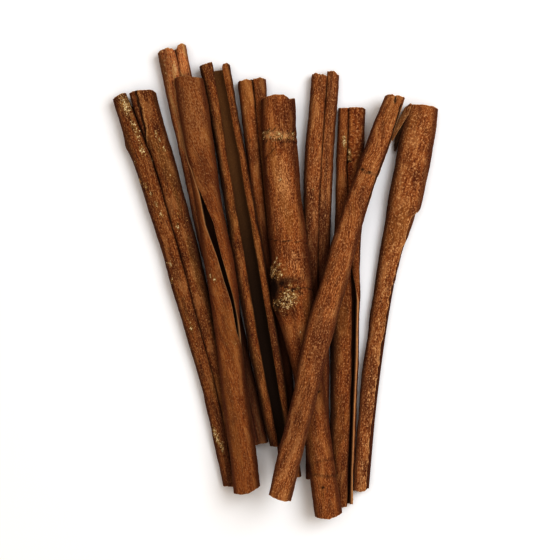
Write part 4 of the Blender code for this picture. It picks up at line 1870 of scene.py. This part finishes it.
SLIVERS = (
    Sliver(
        name="right_torn_quill_pointed_splinter",
        stick="right_torn_quill",
        path=((0.2, -4.6, 5.1, 0.3, 30.0), (1.0, -5.0, 4.9, 1.3, 30.0),
              (2.0, -5.5, 4.7, 2.3, 30.0), (5.0, -6.2, 4.4, 2.4, 26.0),
              (7.5, -7.0, 4.0, 2.1, 20.0), (10.5, -7.9, 3.6, 1.6, 15.0),
              (14.5, -8.9, 3.0, 0.3, 15.0)),
        dark=0.35,
        seed=3,
    ),
    # Painted shade: this splinter lies under the pointed one and is darkened to stand for the shade between
    # the pointed splinter and the stick.
    Sliver(
        name="right_torn_quill_inner_splinter",
        stick="right_torn_quill",
        path=((0.9, -4.9, 4.6, 0.8, 40.0), (3.0, -5.4, 4.2, 2.2, 40.0),
              (6.0, -6.0, 3.8, 3.0, 38.0), (10.0, -6.6, 3.2, 2.6, 34.0),
              (14.0, -6.9, 2.4, 1.6, 30.0), (18.0, -6.8, 1.8, 0.3, 30.0)),
        dark=0.75,
        seed=6,
    ),
)
CRUSTED = ("far_left_double_quill", "knotted_centre_quill", "right_back_double_quill")


# ---------------------------------------------------------------- floor, light, camera


@dataclass(frozen=True)
class Studio:
    """A pale floor, soft light from above and a camera that looks straight down."""

    floor_size_m: float = 3.0
    camera_height_m: float = 0.6
    view_width_m: float = 0.2016
    aim_m: tuple[float, float] = (0.00174, 0.00045)
    dome: float = 0.40
    key_power_w: float = 9.7
    key_size_m: float = 0.8
    key_place_m: tuple[float, float, float] = (0.60, 0.28, 1.0)
    top_power_w: float = 9.5
    top_size_m: float = 1.8
    top_place_m: tuple[float, float, float] = (-0.05, 0.0, 1.15)
    gamma: float = 0.74         # below 1 deepens the half tones

    def floor(self, under_m: float) -> None:
        """Lay a matt pale board under the stack."""
        half = self.floor_size_m / 2
        mesh = bpy.data.meshes.new("floor")
        corners = [(-half, -half), (half, -half), (half, half), (-half, half)]
        mesh.from_pydata([(x, y, under_m - 0.1 * MM) for x, y in corners], [], [(0, 1, 2, 3)])
        material = bpy.data.materials.new("matt_painted_board")
        material.use_nodes = True
        shader = material.node_tree.nodes["Principled BSDF"]
        shader.inputs["Base Color"].default_value = linear("f5f4f4")
        shader.inputs["Roughness"].default_value = 0.9
        mesh.materials.append(material)
        board = bpy.data.objects.new("floor", mesh)
        bpy.context.scene.collection.objects.link(board)
        board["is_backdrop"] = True

    def light(self) -> None:
        """Add an even warm dome, a soft lamp at the upper right and a wide one overhead."""
        world = bpy.data.worlds.new("soft_dome")
        world.use_nodes = True
        background = world.node_tree.nodes["Background"]
        background.inputs["Color"].default_value = linear("ffe2c0")
        background.inputs["Strength"].default_value = self.dome
        bpy.context.scene.world = world
        bpy.context.scene.view_settings.view_transform = "Standard"
        bpy.context.scene.view_settings.gamma = self.gamma
        self._lamp("soft_key", self.key_power_w, self.key_size_m, self.key_place_m)
        self._lamp("soft_top", self.top_power_w, self.top_size_m, self.top_place_m)

    @staticmethod
    def _lamp(name: str, power_w: float, size_m: float, place_m: tuple[float, ...]) -> None:
        """Hang a round soft lamp that points at the middle of the floor."""
        lamp = bpy.data.lights.new(name, "AREA")
        lamp.shape = "DISK"
        lamp.size = size_m
        lamp.energy = power_w
        lamp.color = linear("eef7ff")[:3]
        holder = bpy.data.objects.new(name, lamp)
        holder.location = place_m
        holder.rotation_euler = Vector(place_m).to_track_quat("Z", "Y").to_euler()
        bpy.context.scene.collection.objects.link(holder)

    def camera(self) -> None:
        """Hang the camera over the stack."""
        data = bpy.data.cameras.new("overhead_camera")
        data.sensor_width = 36.0
        data.lens = 36.0 * self.camera_height_m / self.view_width_m
        data.clip_start = 0.01
        data.clip_end = 10.0
        holder = bpy.data.objects.new("overhead_camera", data)
        holder.location = (*self.aim_m, self.camera_height_m)
        bpy.context.scene.collection.objects.link(holder)
        bpy.context.scene.camera = holder


def main() -> None:
    """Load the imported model, dress every stick, and set floor, light and camera."""
    logging.basicConfig(level=logging.INFO, format="%(name)s: %(message)s")
    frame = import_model()
    packed_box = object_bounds()
    studio = Studio()
    studio.floor(packed_box[0].z)
    studio.light()
    studio.camera()
    roller = BarkRoller()
    nodes = frame["nodes"]
    shelter = Shelter({stick.name: nodes[stick.name] for stick in STICKS})
    dressed = {
        stick.name: stick.build(nodes[stick.name], roller, shelter) for stick in STICKS
    }
    sticks = {stick.name: stick for stick in STICKS}
    for sliver in SLIVERS:
        sliver.build(sticks[sliver.stick], nodes[sliver.stick], roller)
    LichenScales().strew([dressed[name] for name in CRUSTED])


if __name__ == "__main__":
    main()
